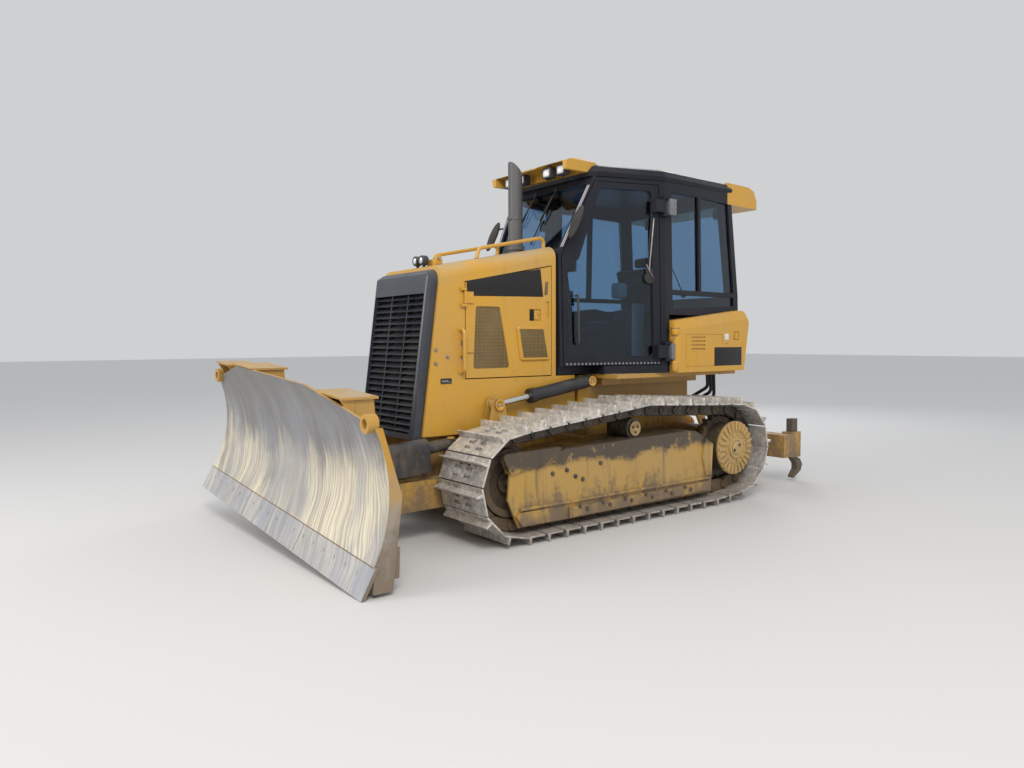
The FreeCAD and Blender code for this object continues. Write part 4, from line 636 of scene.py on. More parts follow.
def copiesAt(piece, places):
    # places are (point, normal) pairs; the model is made at the origin with +Z outwards
    copies = []
    for point, normal in places:
        turn = Vector(normal).to_track_quat("Z", "Y").to_matrix().to_4x4()
        copies.append(movedCopy(piece, Matrix.Translation(Vector(point)) @ turn))
    bpy.data.objects.remove(piece)
    return copies


def mirroredCopy(piece):
    # the same piece on the machine's other side, with its faces turned outwards again
    copy = movedCopy(piece, Matrix.Scale(-1, 4, Vector((0, 1, 0))))
    pick(copy)
    bpy.ops.object.mode_set(mode="EDIT")
    bpy.ops.mesh.select_all(action="SELECT")
    bpy.ops.mesh.flip_normals()
    bpy.ops.object.mode_set(mode="OBJECT")
    return copy


def joined(name, parts, body):
    clearSelection()
    for part in parts:
        part.select_set(True)
    bpy.context.view_layer.objects.active = parts[0]
    if len(parts) > 1:
        bpy.ops.object.join()
    piece = bpy.context.object
    piece.name = name
    piece.data.name = name
    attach(piece, body)
    return piece


def selectFaces(piece, test):
    # leaves edit mode's selection on the faces whose centre and normal pass the test
    pick(piece)
    bpy.ops.object.mode_set(mode="EDIT")
    bpy.ops.mesh.select_mode(type="FACE")
    bpy.ops.mesh.select_all(action="DESELECT")
    mesh = bmesh.from_edit_mesh(piece.data)
    for face in mesh.faces:
        face.select_set(test(face.calc_center_median(), face.normal))
    bmesh.update_edit_mesh(piece.data)


def hollowFace(piece, test, rim, depth):
    # a face is inset by a rim and pushed in
    selectFaces(piece, test)
    bpy.ops.mesh.inset(thickness=rim, depth=0)
    bpy.ops.mesh.inset(thickness=0.0005, depth=-depth)
    bpy.ops.object.mode_set(mode="OBJECT")
    return piece


def boltModel(radius, height, kind="bolt"):
    # hexagon head with a crowned top on a washer
    clearSelection()
    bpy.ops.mesh.primitive_cylinder_add(vertices=6, radius=radius, depth=height, location=(0, 0, height * 0.6))
    head = settle(bpy.context.object)
    selectFaces(head, lambda centre, normal: normal.z > 0.9)
    bpy.ops.mesh.inset(thickness=radius * 0.18)
    bpy.ops.transform.translate(value=(0, 0, height * 0.12))
    bpy.ops.object.mode_set(mode="OBJECT")
    clearSelection()
    bpy.ops.mesh.primitive_cone_add(vertices=12, radius1=radius * 1.32, radius2=radius * 1.25, depth=height * 0.25,
                                    location=(0, 0, height * 0.1))
    washer = settle(bpy.context.object)
    clearSelection()
    washer.select_set(True)
    head.select_set(True)
    bpy.context.view_layer.objects.active = head
    bpy.ops.object.join()
    return paint(head, kind)


def bothSides(places):
    mirrored = [((x, -y, z), (nx, -ny, nz)) for (x, y, z), (nx, ny, nz) in places]
    return places + mirrored


# Tracks: one shoe with its bolts, slots and links, copied to every place on the loop

shoe = {
    "width": 0.510,
    "plateLow": 0.050,
    "plateHigh": 0.062,
    "grouser": 0.048,
    "grouserAt": 0.165,
    "overlap": 0.02,
    "railSpacing": 0.130,
    "railWidth": 0.034,
    "boltRadius": 0.0105,
    "boltAlong": (0.42, 0.72),
    "boltOffset": 0.018,
}


def padPlaces(name):
    # each shoe's flat, found on the track's solid: its middle, outward normal and running direction
    mesh = nodes[name].data
    low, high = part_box(name)
    middle = (low + high) / 2
    flats = {}
    for face in mesh.polygons:
        normal = face.normal
        outward = (face.center - middle).dot(normal)
        if abs(normal.y) > 0.02 or outward < 0.2 or face.area < 0.02:
            continue
        key = (round(normal.x, 2), round(normal.z, 2), round(face.center.dot(normal), 2))
        flats.setdefault(key, []).append(face)
    tips = [mesh.vertices[i].co for i in range(len(mesh.vertices))]
    found = []
    for faces in flats.values():
        corners = {tuple(round(c, 4) for c in mesh.vertices[i].co) for face in faces for i in face.vertices}
        normal = Vector(faces[0].normal)
        across = Vector((0, 1, 0))
        along = across.cross(normal).normalized()
        levels = sorted({round(Vector(c).dot(along), 3) for c in corners})
        groupsAlong = [(levels[i], levels[i + 1]) for i in range(len(levels) - 1)
                       if 0.10 < levels[i + 1] - levels[i] < 0.16]
        height = sum(Vector(c).dot(normal) for c in corners) / len(corners)
        for start, end in groupsAlong:
            centre = along * (start + end) / 2 + normal * height + across * middle.y
            ahead = sum(1 for tip in tips if 0.03 < (tip - centre).dot(normal) < 0.06
                        and 0.05 < (tip - centre).dot(along) < 0.13)
            behind = sum(1 for tip in tips if 0.03 < (tip - centre).dot(normal) < 0.06
                         and 0.05 < -(tip - centre).dot(along) < 0.13)
            direction = along if behind >= ahead else -along
            found.append((centre, normal, direction, end - start))
    return found


def cutAcross(piece, x):
    pick(piece)
    bpy.ops.object.mode_set(mode="EDIT")
    bpy.ops.mesh.select_all(action="SELECT")
    bpy.ops.mesh.bisect(plane_co=(x, 0, 0), plane_no=(1, 0, 0))
    bpy.ops.object.mode_set(mode="OBJECT")


def cutAlong(piece, y):
    pick(piece)
    bpy.ops.object.mode_set(mode="EDIT")
    bpy.ops.mesh.select_all(action="SELECT")
    bpy.ops.mesh.bisect(plane_co=(0, y, 0), plane_no=(0, 1, 0))
    bpy.ops.object.mode_set(mode="OBJECT")


def shoeModel(pitch):
    # lies along X with its outer side up; the joint line is at z = 0 and x runs from 0 to the pitch
    half = shoe["width"] / 2
    clearSelection()
    size = (pitch * 1.0 + shoe["overlap"], shoe["width"], shoe["plateHigh"] - shoe["plateLow"])
    bpy.ops.mesh.primitive_cube_add(size=1, location=((pitch - 0.012) / 2, 0, (shoe["plateHigh"] + shoe["plateLow"]) / 2),
                                    scale=size)
    plate = settle(bpy.context.object)
    grouserX = shoe["grouserAt"] * pitch
    for x in (grouserX - 0.011, grouserX + 0.011):
        cutAcross(plate, x)
    selectFaces(plate, lambda centre, normal: normal.z > 0.9 and abs(centre.x - grouserX) < 0.011)
    bpy.ops.mesh.extrude_region_move(TRANSFORM_OT_translate={"value": (0, 0, shoe["grouser"])})
    bpy.ops.transform.resize(value=(0.5, 1, 1))
    bpy.ops.object.mode_set(mode="OBJECT")
    slotFrom, slotTo = pitch * 0.245, pitch * 0.325
    slots = [(0.030, 0.062), (-0.062, -0.030)]
    for x in (slotFrom, slotTo):
        cutAcross(plate, x)
    for pair in slots:
        for y in pair:
            cutAlong(plate, y)
    plate.data.materials.clear()
    plate.data.materials.append(materials["track"])
    plate.data.materials.append(materials["hole"])
    # the slots' floors are painted near black as the shade inside the holes
    selectFaces(plate, lambda centre, normal: normal.z > 0.9 and slotFrom < centre.x < slotTo
                and 0.030 < abs(centre.y) < 0.062 and centre.z < 0.07)
    bpy.ops.mesh.extrude_region_move(TRANSFORM_OT_translate={"value": (0, 0, -0.009)})
    plate.active_material_index = 1
    bpy.ops.object.material_slot_assign()
    bpy.ops.object.mode_set(mode="OBJECT")
    bevelEdges(plate, 0.0018, 1, 40)
    places = []
    for side in (1, -1):
        for share in shoe["boltAlong"]:
            for offset in (-shoe["boltOffset"], shoe["boltOffset"]):
                lateral = side * shoe["railSpacing"] / 2 + offset
                places.append(((share * pitch, lateral, shoe["plateHigh"] - 0.001), (0, 0, 1)))
    bolts = copiesAt(boltModel(shoe["boltRadius"], 0.010), places)
    links = []
    for side in (1, -1):
        y = side * shoe["railSpacing"] / 2
        width = shoe["railWidth"] / 2
        links.append(block((0.012, y - width, -0.046), (pitch - 0.012, y + width, 0.049), "chain", 0.009, 1))
        links.append(disc((0, y + side * 0.008, 0), (0, 1, 0), 0.040, shoe["railWidth"] + 0.016, "chain", 14))
    pin = rod((0, -shoe["railSpacing"] / 2 - 0.040, 0), (0, shoe["railSpacing"] / 2 + 0.040, 0), 0.019, "chain", 10)
    clearSelection()
    for part in bolts + links + [pin, plate]:
        part.select_set(True)
    bpy.context.view_layer.objects.active = plate
    bpy.ops.object.join()
    return bpy.context.object


def trackPiece(name, node):
    pads = padPlaces(node)
    pitch = max(length for *_, length in pads) / 0.72
    model = shoeModel(pitch)
    copies = []
    for centre, normal, direction, length in pads:
        across = normal.cross(direction)
        start = centre - direction * 0.62 * pitch - normal * shoe["plateHigh"]
        matrix = Matrix((direction, across, normal)).transposed().to_4x4()
        copies.append(movedCopy(model, Matrix.Translation(start) @ matrix))
    bpy.data.objects.remove(model)
    piece = joined(name, copies, "chassis")
    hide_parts(node)
    print(name, "made of", len(copies), "shoes, pitch", round(pitch, 4))


trackPiece("track_shoes_left", "track_left")
trackPiece("track_shoes_right", "track_right")

# Cab lamps: square housings with a fluted face, in pairs under the brow

cabLamps = {"y": (0.165, 0.335), "z": 2.690, "front": 0.206, "half": 0.050, "depth": 0.072}


def lampHousing(y, z, front, half, depth, facing):
    low = (front - facing * depth, y - half, z - half * 0.82)
    high = (front, y + half, z + half * 0.82)
    low, high = [tuple(sorted(pair)) for pair in zip(low, high)], None
    corners = (tuple(pair[0] for pair in low), tuple(pair[1] for pair in low))
    housing = block(corners[0], corners[1], "plastic", 0.010, 3)
    hollowFace(housing, lambda centre, normal: normal.x * facing > 0.95, 0.006, 0.010)
    lensFront = front - facing * 0.003
    xs = sorted((lensFront, lensFront - facing * 0.012))
    lens = block((xs[0], y - half * 0.86, z - half * 0.68), (xs[1], y + half * 0.86, z + half * 0.68), "lamp", 0.006, 2)
    stalk = block((min(corners[0][0], corners[1][0]) + 0.02, y - 0.010, z + half * 0.5),
                  (min(corners[0][0], corners[1][0]) + 0.05, y + 0.010, z + half * 0.82 + 0.03), "plastic", 0.003, 1)
    return [housing, lens, stalk]


def addCabLamps():
    parts = []
    for y in cabLamps["y"]:
        for side in (1, -1):
            parts += lampHousing(y * side, cabLamps["z"], cabLamps["front"], cabLamps["half"], cabLamps["depth"], 1)
    piece = joined("cab_lamps", parts, "chassis")
    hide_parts("lamps")
    parts = []
    for side in (1, -1):
        parts += lampHousing(0.42 * side, 2.500, -1.700, 0.045, 0.07, -1)
        parts.append(block((-1.66, 0.42 * side - 0.015, 2.52), (-1.60, 0.42 * side + 0.015, 2.56), "plastic", 0.003, 1))
    joined("rear_lamps", parts, "chassis")


addCabLamps()
print("lamps made")

# Seat: pads swollen over their solids by a short cloth run

seatPads = {
    "seat_pad": {"low": (-0.99, -0.235, 1.410), "high": (-0.53, 0.235, 1.510), "cap": 0.016, "tilt": 0.0},
    "seat_back_pad": {"low": (-1.150, -0.225, 1.500), "high": (-1.050, 0.225, 2.030), "cap": 0.016, "tilt": -10.0},
    "seat_head_pad": {"low": (-1.190, -0.130, 2.030), "high": (-1.120, 0.130, 2.115), "cap": 0.010, "tilt": -6.0},
}


def puffed(piece, cap):
    # cloth pressed out from the inside; no point moves further than the cap
    before = [v.co.copy() for v in piece.data.vertices]
    pick(piece)
    modifier = piece.modifiers.new("cloth", "CLOTH")
    modifier.settings.use_pressure = True
    modifier.settings.uniform_pressure_force = 4
    modifier.settings.effector_weights.gravity = 0
    scene = bpy.context.scene
    for step in range(1, 21):
        scene.frame_set(step)
    bpy.ops.object.modifier_apply(modifier="cloth")
    scene.frame_set(1)
    for vertex, start in zip(piece.data.vertices, before):
        moved = vertex.co - start
        if moved.length > cap:
            vertex.co = start + moved.normalized() * cap


def seatPad(name, settings):
    low, high = Vector(settings["low"]), Vector(settings["high"])
    clearSelection()
    bpy.ops.mesh.primitive_cube_add(size=1, location=(low + high) / 2, scale=high - low)
    piece = settle(bpy.context.object)
    bevelEdges(piece, 0.022, 3)
    modifier = piece.modifiers.new("remesh", "REMESH")
    modifier.mode = "VOXEL"
    modifier.voxel_size = 0.009
    pick(piece)
    bpy.ops.object.modifier_apply(modifier="remesh")
    puffed(piece, settings["cap"])
    pick(piece)
    bpy.ops.object.mode_set(mode="EDIT")
    bpy.ops.mesh.select_all(action="SELECT")
    bpy.ops.transform.rotate(value=math.radians(settings["tilt"]), orient_axis="Y", center_override=low)
    bpy.ops.object.mode_set(mode="OBJECT")
    bpy.ops.object.shade_smooth()
    paint(piece, "cloth")
    joined(name, [piece], "chassis")
    return piece


seatPieces = [seatPad(name, settings) for name, settings in seatPads.items()]
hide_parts("seat_cushions")
print("seat made")

# Plates and wire screens cut to an outline


def slab(points, move, kind, bevel=0.0012, segments=2):
    # a flat outline pushed out along move
    clearSelection()
    bpy.ops.mesh.primitive_circle_add(vertices=len(points), radius=1, fill_type="NGON")
    piece = settle(bpy.context.object)
    for vertex, point in zip(piece.data.vertices, points):
        vertex.co = point
    pick(piece)
    bpy.ops.object.mode_set(mode="EDIT")
    bpy.ops.mesh.select_all(action="SELECT")
    bpy.ops.mesh.extrude_region_move(TRANSFORM_OT_translate={"value": Vector(move)})
    bpy.ops.mesh.select_all(action="SELECT")
    bpy.ops.mesh.normals_make_consistent(inside=False)
    bpy.ops.object.mode_set(mode="OBJECT")
    return paint(bevelEdges(piece, bevel, segments), kind)


def sideSlab(outline, y, thickness, kind, bevel=0.0012):
    return slab([(x, y, z) for x, z in outline], (0, thickness, 0), kind, bevel)


def wireScreen(outline, y, step, thickness, kind):
    # a square grid trimmed by the outline's edges, each mesh edge then made a wire
    xs = [x for x, z in outline]
    zs = [z for x, z in outline]
    width, height = max(xs) - min(xs), max(zs) - min(zs)
    centre = Vector(((max(xs) + min(xs)) / 2, y, (max(zs) + min(zs)) / 2))
    clearSelection()
    bpy.ops.mesh.primitive_grid_add(x_subdivisions=round(width / step), y_subdivisions=round(height / step), size=1,
                                    location=centre, rotation=(math.pi / 2, 0, 0), scale=(width, height, 1))
    piece = settle(bpy.context.object)
    middle = Vector((sum(xs) / len(xs), y, sum(zs) / len(zs)))
    for i, (x, z) in enumerate(outline):
        nextX, nextZ = outline[(i + 1) % len(outline)]
        outward = Vector((nextZ - z, 0, x - nextX)).normalized()
        if outward.dot(Vector((x, y, z)) - middle) < 0:
            outward = -outward
        pick(piece)
        bpy.ops.object.mode_set(mode="EDIT")
        bpy.ops.mesh.select_all(action="SELECT")
        bpy.ops.mesh.bisect(plane_co=(x, y, z), plane_no=outward, clear_outer=True)
        bpy.ops.object.mode_set(mode="OBJECT")
    modifier = piece.modifiers.new("wires", "WIREFRAME")
    modifier.thickness = thickness
    pick(piece)
    bpy.ops.object.modifier_apply(modifier="wires")
    return paint(piece, kind)


def boltsAt(places, radius, height, kind="bolt"):
    return copiesAt(boltModel(radius, height, kind), places)


def gathered(name, parts):
    clearSelection()
    for part in parts:
        part.select_set(True)
    bpy.context.view_layer.objects.active = parts[0]
    if len(parts) > 1:
        bpy.ops.object.join()
    piece = bpy.context.object
    piece.name = name
    piece.data.name = name
    return piece


def pair(name, parts, leftBody, rightBody, slot):
    # parts made on the left are joined, then repeated on the right
    left = gathered(name + "_left", parts)
    right = mirroredCopy(left)
    right.name = name + "_right"
    right.data.name = name + "_right"
    for piece, body in ((left, leftBody), (right, rightBody)):
        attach(piece, body)
    return left, right


# Engine doors: blank stripe, wire screens and latch

engineDoor = {
    "stripe": [(1.149, 1.671), (1.149, 1.789), (0.471, 1.894), (0.444, 1.685)],
    "stripeY": 0.4132,
    "screen": [(1.095, 1.153), (1.069, 1.597), (0.861, 1.597), (0.774, 1.153)],
    "screenY": 0.4085,
    "raised": [(0.650, 1.223), (0.686, 1.438), (0.457, 1.438), (0.412, 1.223)],
    "raisedY": 0.4312,
    "wireStep": 0.011,
    "wire": 0.0016,
    "latch": (0.508, 0.413, 1.545),
    # outline of a thin near-black sheet that paints the latch recess's shade
    "recess": [(0.578, 1.503), (0.578, 1.587), (0.534, 1.587), (0.534, 1.503)],
    # outlines of thin dark sheets that paint the shade in the vent recesses
    "vents": [[(0.434, 1.700), (0.424, 1.800), (0.394, 1.800), (0.402, 1.700)]],
}


def addEngineDoorPieces():
    stripe = sideSlab(engineDoor["stripe"], engineDoor["stripeY"], 0.0015, "blank", 0.0005)
    screens = []
    for outline, y in ((engineDoor["screen"], engineDoor["screenY"]), (engineDoor["raised"], engineDoor["raisedY"])):
        screens.append(sideSlab(outline, y - 0.001, 0.001, "screen", 0.0003))
        screens.append(wireScreen(outline, y + 0.0012, engineDoor["wireStep"], engineDoor["wire"], "screenWire"))
    x, y, z = engineDoor["latch"]
    paddle = block((x - 0.020, y - 0.004, z - 0.026), (x + 0.020, y + 0.004, z + 0.026), "yellow", 0.003)
    hollowFace(paddle, lambda centre, normal: normal.y > 0.95, 0.006, 0.003)
    lock = disc((x - 0.012, y + 0.004, z), (0, 1, 0), 0.008, 0.004, "bolt", 16)
    pair("engine_door_stripe", [stripe], "engine_door_left", "engine_door_right", "black_paint")
    pair("engine_door_screens", screens, "engine_door_left", "engine_door_right", "dusty_tan")
    # a thin near-black sheet paints the shade of the latch's recess
    recess = sideSlab(engineDoor["recess"], y - 0.0025, 0.001, "hole", 0.0002)
    # thin dark sheets paint the shade in the vent recesses
    vents = [sideSlab(outline, 0.4152, 0.0008, "screen", 0.0002) for outline in engineDoor["vents"]]
    pair("engine_door_latch", [paddle, lock, recess] + vents, "engine_door_left", "engine_door_right",
         "machine_yellow")


addEngineDoorPieces()
print("engine doors dressed")

# Nose cheeks: bolts, slotted lock and the handle's feet

cheek = {
    "y": 0.4152,
    "bolts": ((1.412, 1.291), (1.412, 1.195), (1.192, 1.330), (1.192, 1.232), (1.316, 1.240)),
    "lock": ((1.284, 1.052), (1.376, 1.090)),
    "handleX": 1.206,
    "handleZ": (1.130, 1.432),
}


def addCheekPieces():
    parts = boltsAt([((x, cheek["y"], z), (0, 1, 0)) for x, z in cheek["bolts"]], 0.011, 0.010)
    (x0, z0), (x1, z1) = cheek["lock"]
    frameOfLock = block((x0, cheek["y"] - 0.001, z0), (x1, cheek["y"] + 0.004, z1), "plastic", 0.0015)
    hollowFace(frameOfLock, lambda centre, normal: normal.y > 0.95, 0.006, 0.003)
    slot = block((x0 + 0.030, cheek["y"] - 0.001, z0 + 0.014), (x1 - 0.012, cheek["y"] + 0.003, z1 - 0.014), "bolt",
                 0.001)
    parts += [frameOfLock, slot]
    for z in cheek["handleZ"]:
        parts.append(disc((cheek["handleX"], cheek["y"] + 0.003, z), (0, 1, 0), 0.024, 0.008, "yellow", 20))
    pair("nose_cheek_fittings", parts, "chassis", "chassis", "machine_yellow")


addCheekPieces()

# Hood: small work lamps behind the grille's crown, their bracket, and clamps on the exhaust

hood = {
    "rear": (0.318, 2.080),
    "slope": 0.1935,
    "lampX": 1.322,
    "lampY": (0.030, 0.118),
    "bracket": ((1.205, 0.080), (1.275, 0.190)),
    "exhaust": (0.376, -0.015),
    "clampZ": (2.118, 2.330),
}


def hoodTop(x):
    return hood["rear"][1] - (x - hood["rear"][0]) * hood["slope"]


def addHoodPieces():
    parts = []
    for y in hood["lampY"]:
        z = hoodTop(hood["lampX"]) + 0.048
        body = disc((hood["lampX"], y, z), (1, 0, 0), 0.036, 0.052, "plastic", 24, 0.008)
        hollowFace(body, lambda centre, normal: normal.x > 0.95, 0.005, 0.006)
        lens = disc((hood["lampX"] + 0.019, y, z), (1, 0, 0), 0.030, 0.010, "lamp", 24, 0.003)
        foot = block((hood["lampX"] - 0.012, y - 0.007, hoodTop(hood["lampX"]) - 0.002),
                     (hood["lampX"] + 0.008, y + 0.007, z - 0.028), "plastic", 0.002)
        parts += [body, lens, foot]
    joined("hood_lamps", parts, "chassis")
    (x0, y0), (x1, y1) = hood["bracket"]
    base = block((x0, y0, hoodTop(x1) - 0.004), (x1, y1, hoodTop(x0) + 0.034), "yellow", 0.004)
    tab = block((x0 + 0.01, y1 - 0.014, hoodTop(x1) + 0.01), (x1 - 0.01, y1 + 0.004, hoodTop(x0) + 0.062), "yellow", 0.003)
    studs = boltsAt([((x0 + 0.035, y1 + 0.004, hoodTop(x0) + 0.04), (0, 1, 0)),
                     (((x0 + x1) / 2, (y0 + y1) / 2, hoodTop(x0) + 0.033), (0, 0, 1))], 0.010, 0.012)
    joined("hood_bracket", [base, tab] + studs, "chassis")
    x, y = hood["exhaust"]
    bands = []
    for z in hood["clampZ"]:
        bands.append(disc((x, y, z), (0, 0, 1), 0.0605, 0.022, "exhaust", 32, 0.002))
        bands.append(block((x + 0.055, y - 0.010, z - 0.010), (x + 0.080, y + 0.010, z + 0.010), "exhaust", 0.002))
        bands += boltsAt([((x + 0.068, y + 0.010, z), (0, 1, 0))], 0.007, 0.008)
    joined("exhaust_clamps", bands, "chassis")


addHoodPieces()
print("nose and hood dressed")

# Cab: the door's plane carries its wiper, sill and bolts

doorPlane = {"corner": (-0.600, 0.735, 1.085), "normal": (0.3018, 0.9530, 0.0260)}
door = {
    "wiperFoot": (-0.452, 1.905),
    "wiperTip": (-0.500, 2.330),
    "wiperBladeEnds": ((-0.452, 1.985), (-0.492, 2.385)),
    "motor": (-0.462, 1.850),
    "hingeZ": (1.260, 2.430),
    "sillFrom": -0.545,
    "sillTo": 0.262,
    "sillZ": 1.166,
    "teeth": 26,
    "handle": (0.160, 1.330, 1.700),
}


def doorPoint(x, z, out=0.0):
    corner, normal = Vector(doorPlane["corner"]), Vector(doorPlane["normal"]).normalized()
    y = corner.y - (normal.x * (x - corner.x) + normal.z * (z - corner.z)) / normal.y
    return Vector((x, y, z)) + normal * out


def doorRod(start, end, out, radius, kind):
    return rod(doorPoint(*start, out), doorPoint(*end, out), radius, kind, 10)


def addDoorPieces():
    normal = Vector(doorPlane["normal"])
    parts = [
        disc(doorPoint(*door["motor"], -0.004), normal, 0.047, 0.034, "rubber", 28, 0.010),
        disc(doorPoint(door["motor"][0], door["motor"][1] + 0.055, -0.004), normal, 0.034, 0.026, "rubber", 24, 0.008),
        doorRod(door["wiperFoot"], door["wiperTip"], 0.014, 0.0055, "bolt"),
        doorRod(*door["wiperBladeEnds"], 0.000, 0.0045, "rubber"),
        doorRod((-0.500, 2.330), (-0.474, 2.200), 0.006, 0.004, "rubber"),
        doorRod((door["motor"][0] - 0.02, 1.86), (door["motor"][0] + 0.035, 1.96), 0.016, 0.004, "bolt"),
    ]
    for share in range(door["teeth"]):
        x = door["sillFrom"] + (door["sillTo"] - door["sillFrom"]) * (share + 0.5) / door["teeth"]
        parts.append(disc(doorPoint(x, door["sillZ"], 0.0045), normal, 0.010, 0.007, "grey", 8, 0.001))
    handleX, low, high = door["handle"]
    parts.append(doorRod((handleX, low), (handleX, high), 0.034, 0.010, "plastic"))
    for z in (low, high):
        parts.append(rod(doorPoint(handleX, z, -0.008), doorPoint(handleX, z, 0.036), 0.010, "plastic", 10))
    bolts = []
    for z in door["hingeZ"]:
        for offset in (-0.034, 0, 0.034):
            bolts.append((doorPoint(-0.497, z + offset, 0.012), normal))
    parts += boltsAt(bolts, 0.009, 0.008, "grey")
    pair("door_fittings", parts, "door_left", "door_right", "cab_plastic")


addDoorPieces()

cab = {
    "hingeCover": {"rearHigh": -0.700, "rearLow": -0.668, "front": -0.622, "half": 0.066, "out": 0.026},
    "windscreenFoot": (0.300, 2.020),
    "windscreenLean": 0.483,
    "trimY": ((2.075, 0.425), (2.565, 0.475)),
    "mirror": (0.130, 2.250),
    "wiperY": (0.10, -0.16),
    "console": ((-0.640, 0.428, 1.165), (-0.500, 0.458, 1.660)),
    "pod": ((-0.485, 0.300, 1.700), (-0.385, 0.410, 1.830)),
    "leverTops": ((-0.520, 0.350, 1.760), (-0.520, -0.350, 1.760)),
}


def windscreenPoint(y, z, out=0.0):
    normal = Vector((1, 0, cab["windscreenLean"])).normalized()
    x = cab["windscreenFoot"][0] - cab["windscreenLean"] * (z - cab["windscreenFoot"][1])
    return Vector((x, y, z)) + normal * out


def addCabPieces():
    parts = []
    cover = cab["hingeCover"]
    bolts = []
    for z in door["hingeZ"]:
        y = 0.754 - (z - 1.085) * 0.026
        low = max(z - cover["half"], 1.194)
        rear = cover["rearHigh"] if z > 2 else cover["rearLow"]
        parts.append(block((rear, y - 0.022, low), (cover["front"], y + cover["out"], z + cover["half"]), "grey",
                           0.004))
        for offset in (-0.042, 0.042):
            bolts.append(((rear + 0.018, y + cover["out"] - 0.0005, z + offset), (0, 1, 0)))
    parts += boltsAt(bolts, 0.007, 0.006)
    pair("hinge_covers", parts, "chassis", "chassis", "black_paint")
    (lowZ, lowY), (highZ, highY) = cab["trimY"]
    strips = [rod(windscreenPoint(lowY, lowZ, 0.001), windscreenPoint(highY, highZ, 0.001), 0.0050, "trim", 8),
              rod(windscreenPoint(lowY + 0.018, lowZ, 0.001), windscreenPoint(highY + 0.018, highZ, 0.001), 0.0035,
                  "trim", 8)]
    pair("windscreen_trim", strips, "chassis", "chassis", "cab_plastic")
    x, z = cab["mirror"]
    foot = doorPoint(x, z, -0.01)
    foot.x += 0.045
    glassCentre = foot + Vector((0.045, 0.075, 0.01))
    lean = Vector((-cab["windscreenLean"], 0, 1)).normalized()
    clearSelection()
    bpy.ops.mesh.primitive_uv_sphere_add(segments=24, ring_count=12, radius=1, location=glassCentre,
                                         scale=(0.024, 0.052, 0.145), rotation=(0, math.atan2(lean.x, lean.z), 0))
    shell = settle(bpy.context.object)
    selectFaces(shell, lambda centre, normal: normal.x < -0.80)
    bpy.ops.mesh.inset(thickness=0.004, depth=-0.003)
    bpy.ops.object.mode_set(mode="OBJECT")
    bpy.ops.object.shade_smooth_by_angle(angle=math.radians(40))
    paint(shell, "rubber")
    arms = [rod(foot + lean * 0.09, glassCentre + lean * 0.07, 0.008, "plastic"),
            rod(foot - lean * 0.09, glassCentre - lean * 0.07, 0.008, "plastic"), ]
    pair("cab_mirror", [shell] + arms, "chassis", "chassis", "cab_plastic")
    parts = []
    for y in cab["wiperY"]:
        top = windscreenPoint(y, 2.575, 0.012)
        elbow = windscreenPoint(y - 0.06, 2.330, 0.014)
        parts.append(disc(top, (1, 0, cab["windscreenLean"]), 0.018, 0.022, "rubber", 16))
        parts.append(rod(top, elbow, 0.006, "rubber", 8))
        parts.append(rod(windscreenPoint(y - 0.085, 2.135, -0.004), windscreenPoint(y - 0.050, 2.545, -0.004), 0.0065,
                         "rubber", 8))
        parts.append(rod(elbow, windscreenPoint(y - 0.066, 2.330, -0.002), 0.005, "rubber", 8))
    rear = [Vector((-1.622, 0.05, 1.78)), Vector((-1.634, -0.16, 2.16))]
    parts.append(disc(rear[0], (-1, 0, 0.1), 0.022, 0.030, "rubber", 16))
    parts.append(rod(rear[0], rear[1], 0.006, "rubber", 8))
    parts.append(rod(Vector((-1.612, -0.10, 1.98)), Vector((-1.640, -0.20, 2.34)), 0.006, "rubber", 8))
    joined("window_wipers", parts, "chassis")


def addCabInterior():
    (x0, y0, z0), (x1, y1, z1) = cab["console"]
    parts = [block((x0, y0, z0), (x1, y1, z1), "paleTrim", 0.012, 3)]
    (x0, y0, z0), (x1, y1, z1) = cab["pod"]
    for side in (1, -1):
        low, high = sorted((y0 * side, y1 * side))
        parts.append(block((x0, low, z0), (x1, high, z1), "paleTrim", 0.024, 4))
    for x, y, z in cab["leverTops"]:
        parts.append(disc((x, y, z + 0.015), (0.1, 0, 1), 0.026, 0.060, "rubber", 20, 0.012))
        parts.append(disc((x, y, z - 0.075), (0, 0, 1), 0.036, 0.030, "rubber", 20, 0.010))
    screenFrame = block((0.020, 0.100, 1.905), (0.055, 0.330, 2.035), "plastic", 0.008, 3)
    hollowFace(screenFrame, lambda centre, normal: normal.x < -0.95, 0.010, 0.003)
    parts.append(screenFrame)
    parts.append(rod((0.05, 0.215, 1.86), (0.04, 0.215, 1.93), 0.012, "plastic"))
    for step in range(5):
        x = 0.02 + 0.03 * step
        parts.append(block((x, -0.250, 1.9005), (x + 0.016, -0.050, 1.906), "paleTrim", 0.001, 1))
    joined("cab_interior", parts, "chassis")


addCabPieces()
addCabInterior()
print("cab dressed")

# Side boxes: blank panel, blank plate, knobs, corner post and the door's wire keeper

sideBox = {
    "y": 0.8022,
    "panel": [(-1.132, 1.130), (-1.132, 1.288), (-1.508, 1.288), (-1.508, 1.130)],
    "plate": [(-1.270, 1.352), (-1.270, 1.404), (-1.325, 1.404), (-1.325, 1.352)],
    "post": (-0.664, 0.770),
}


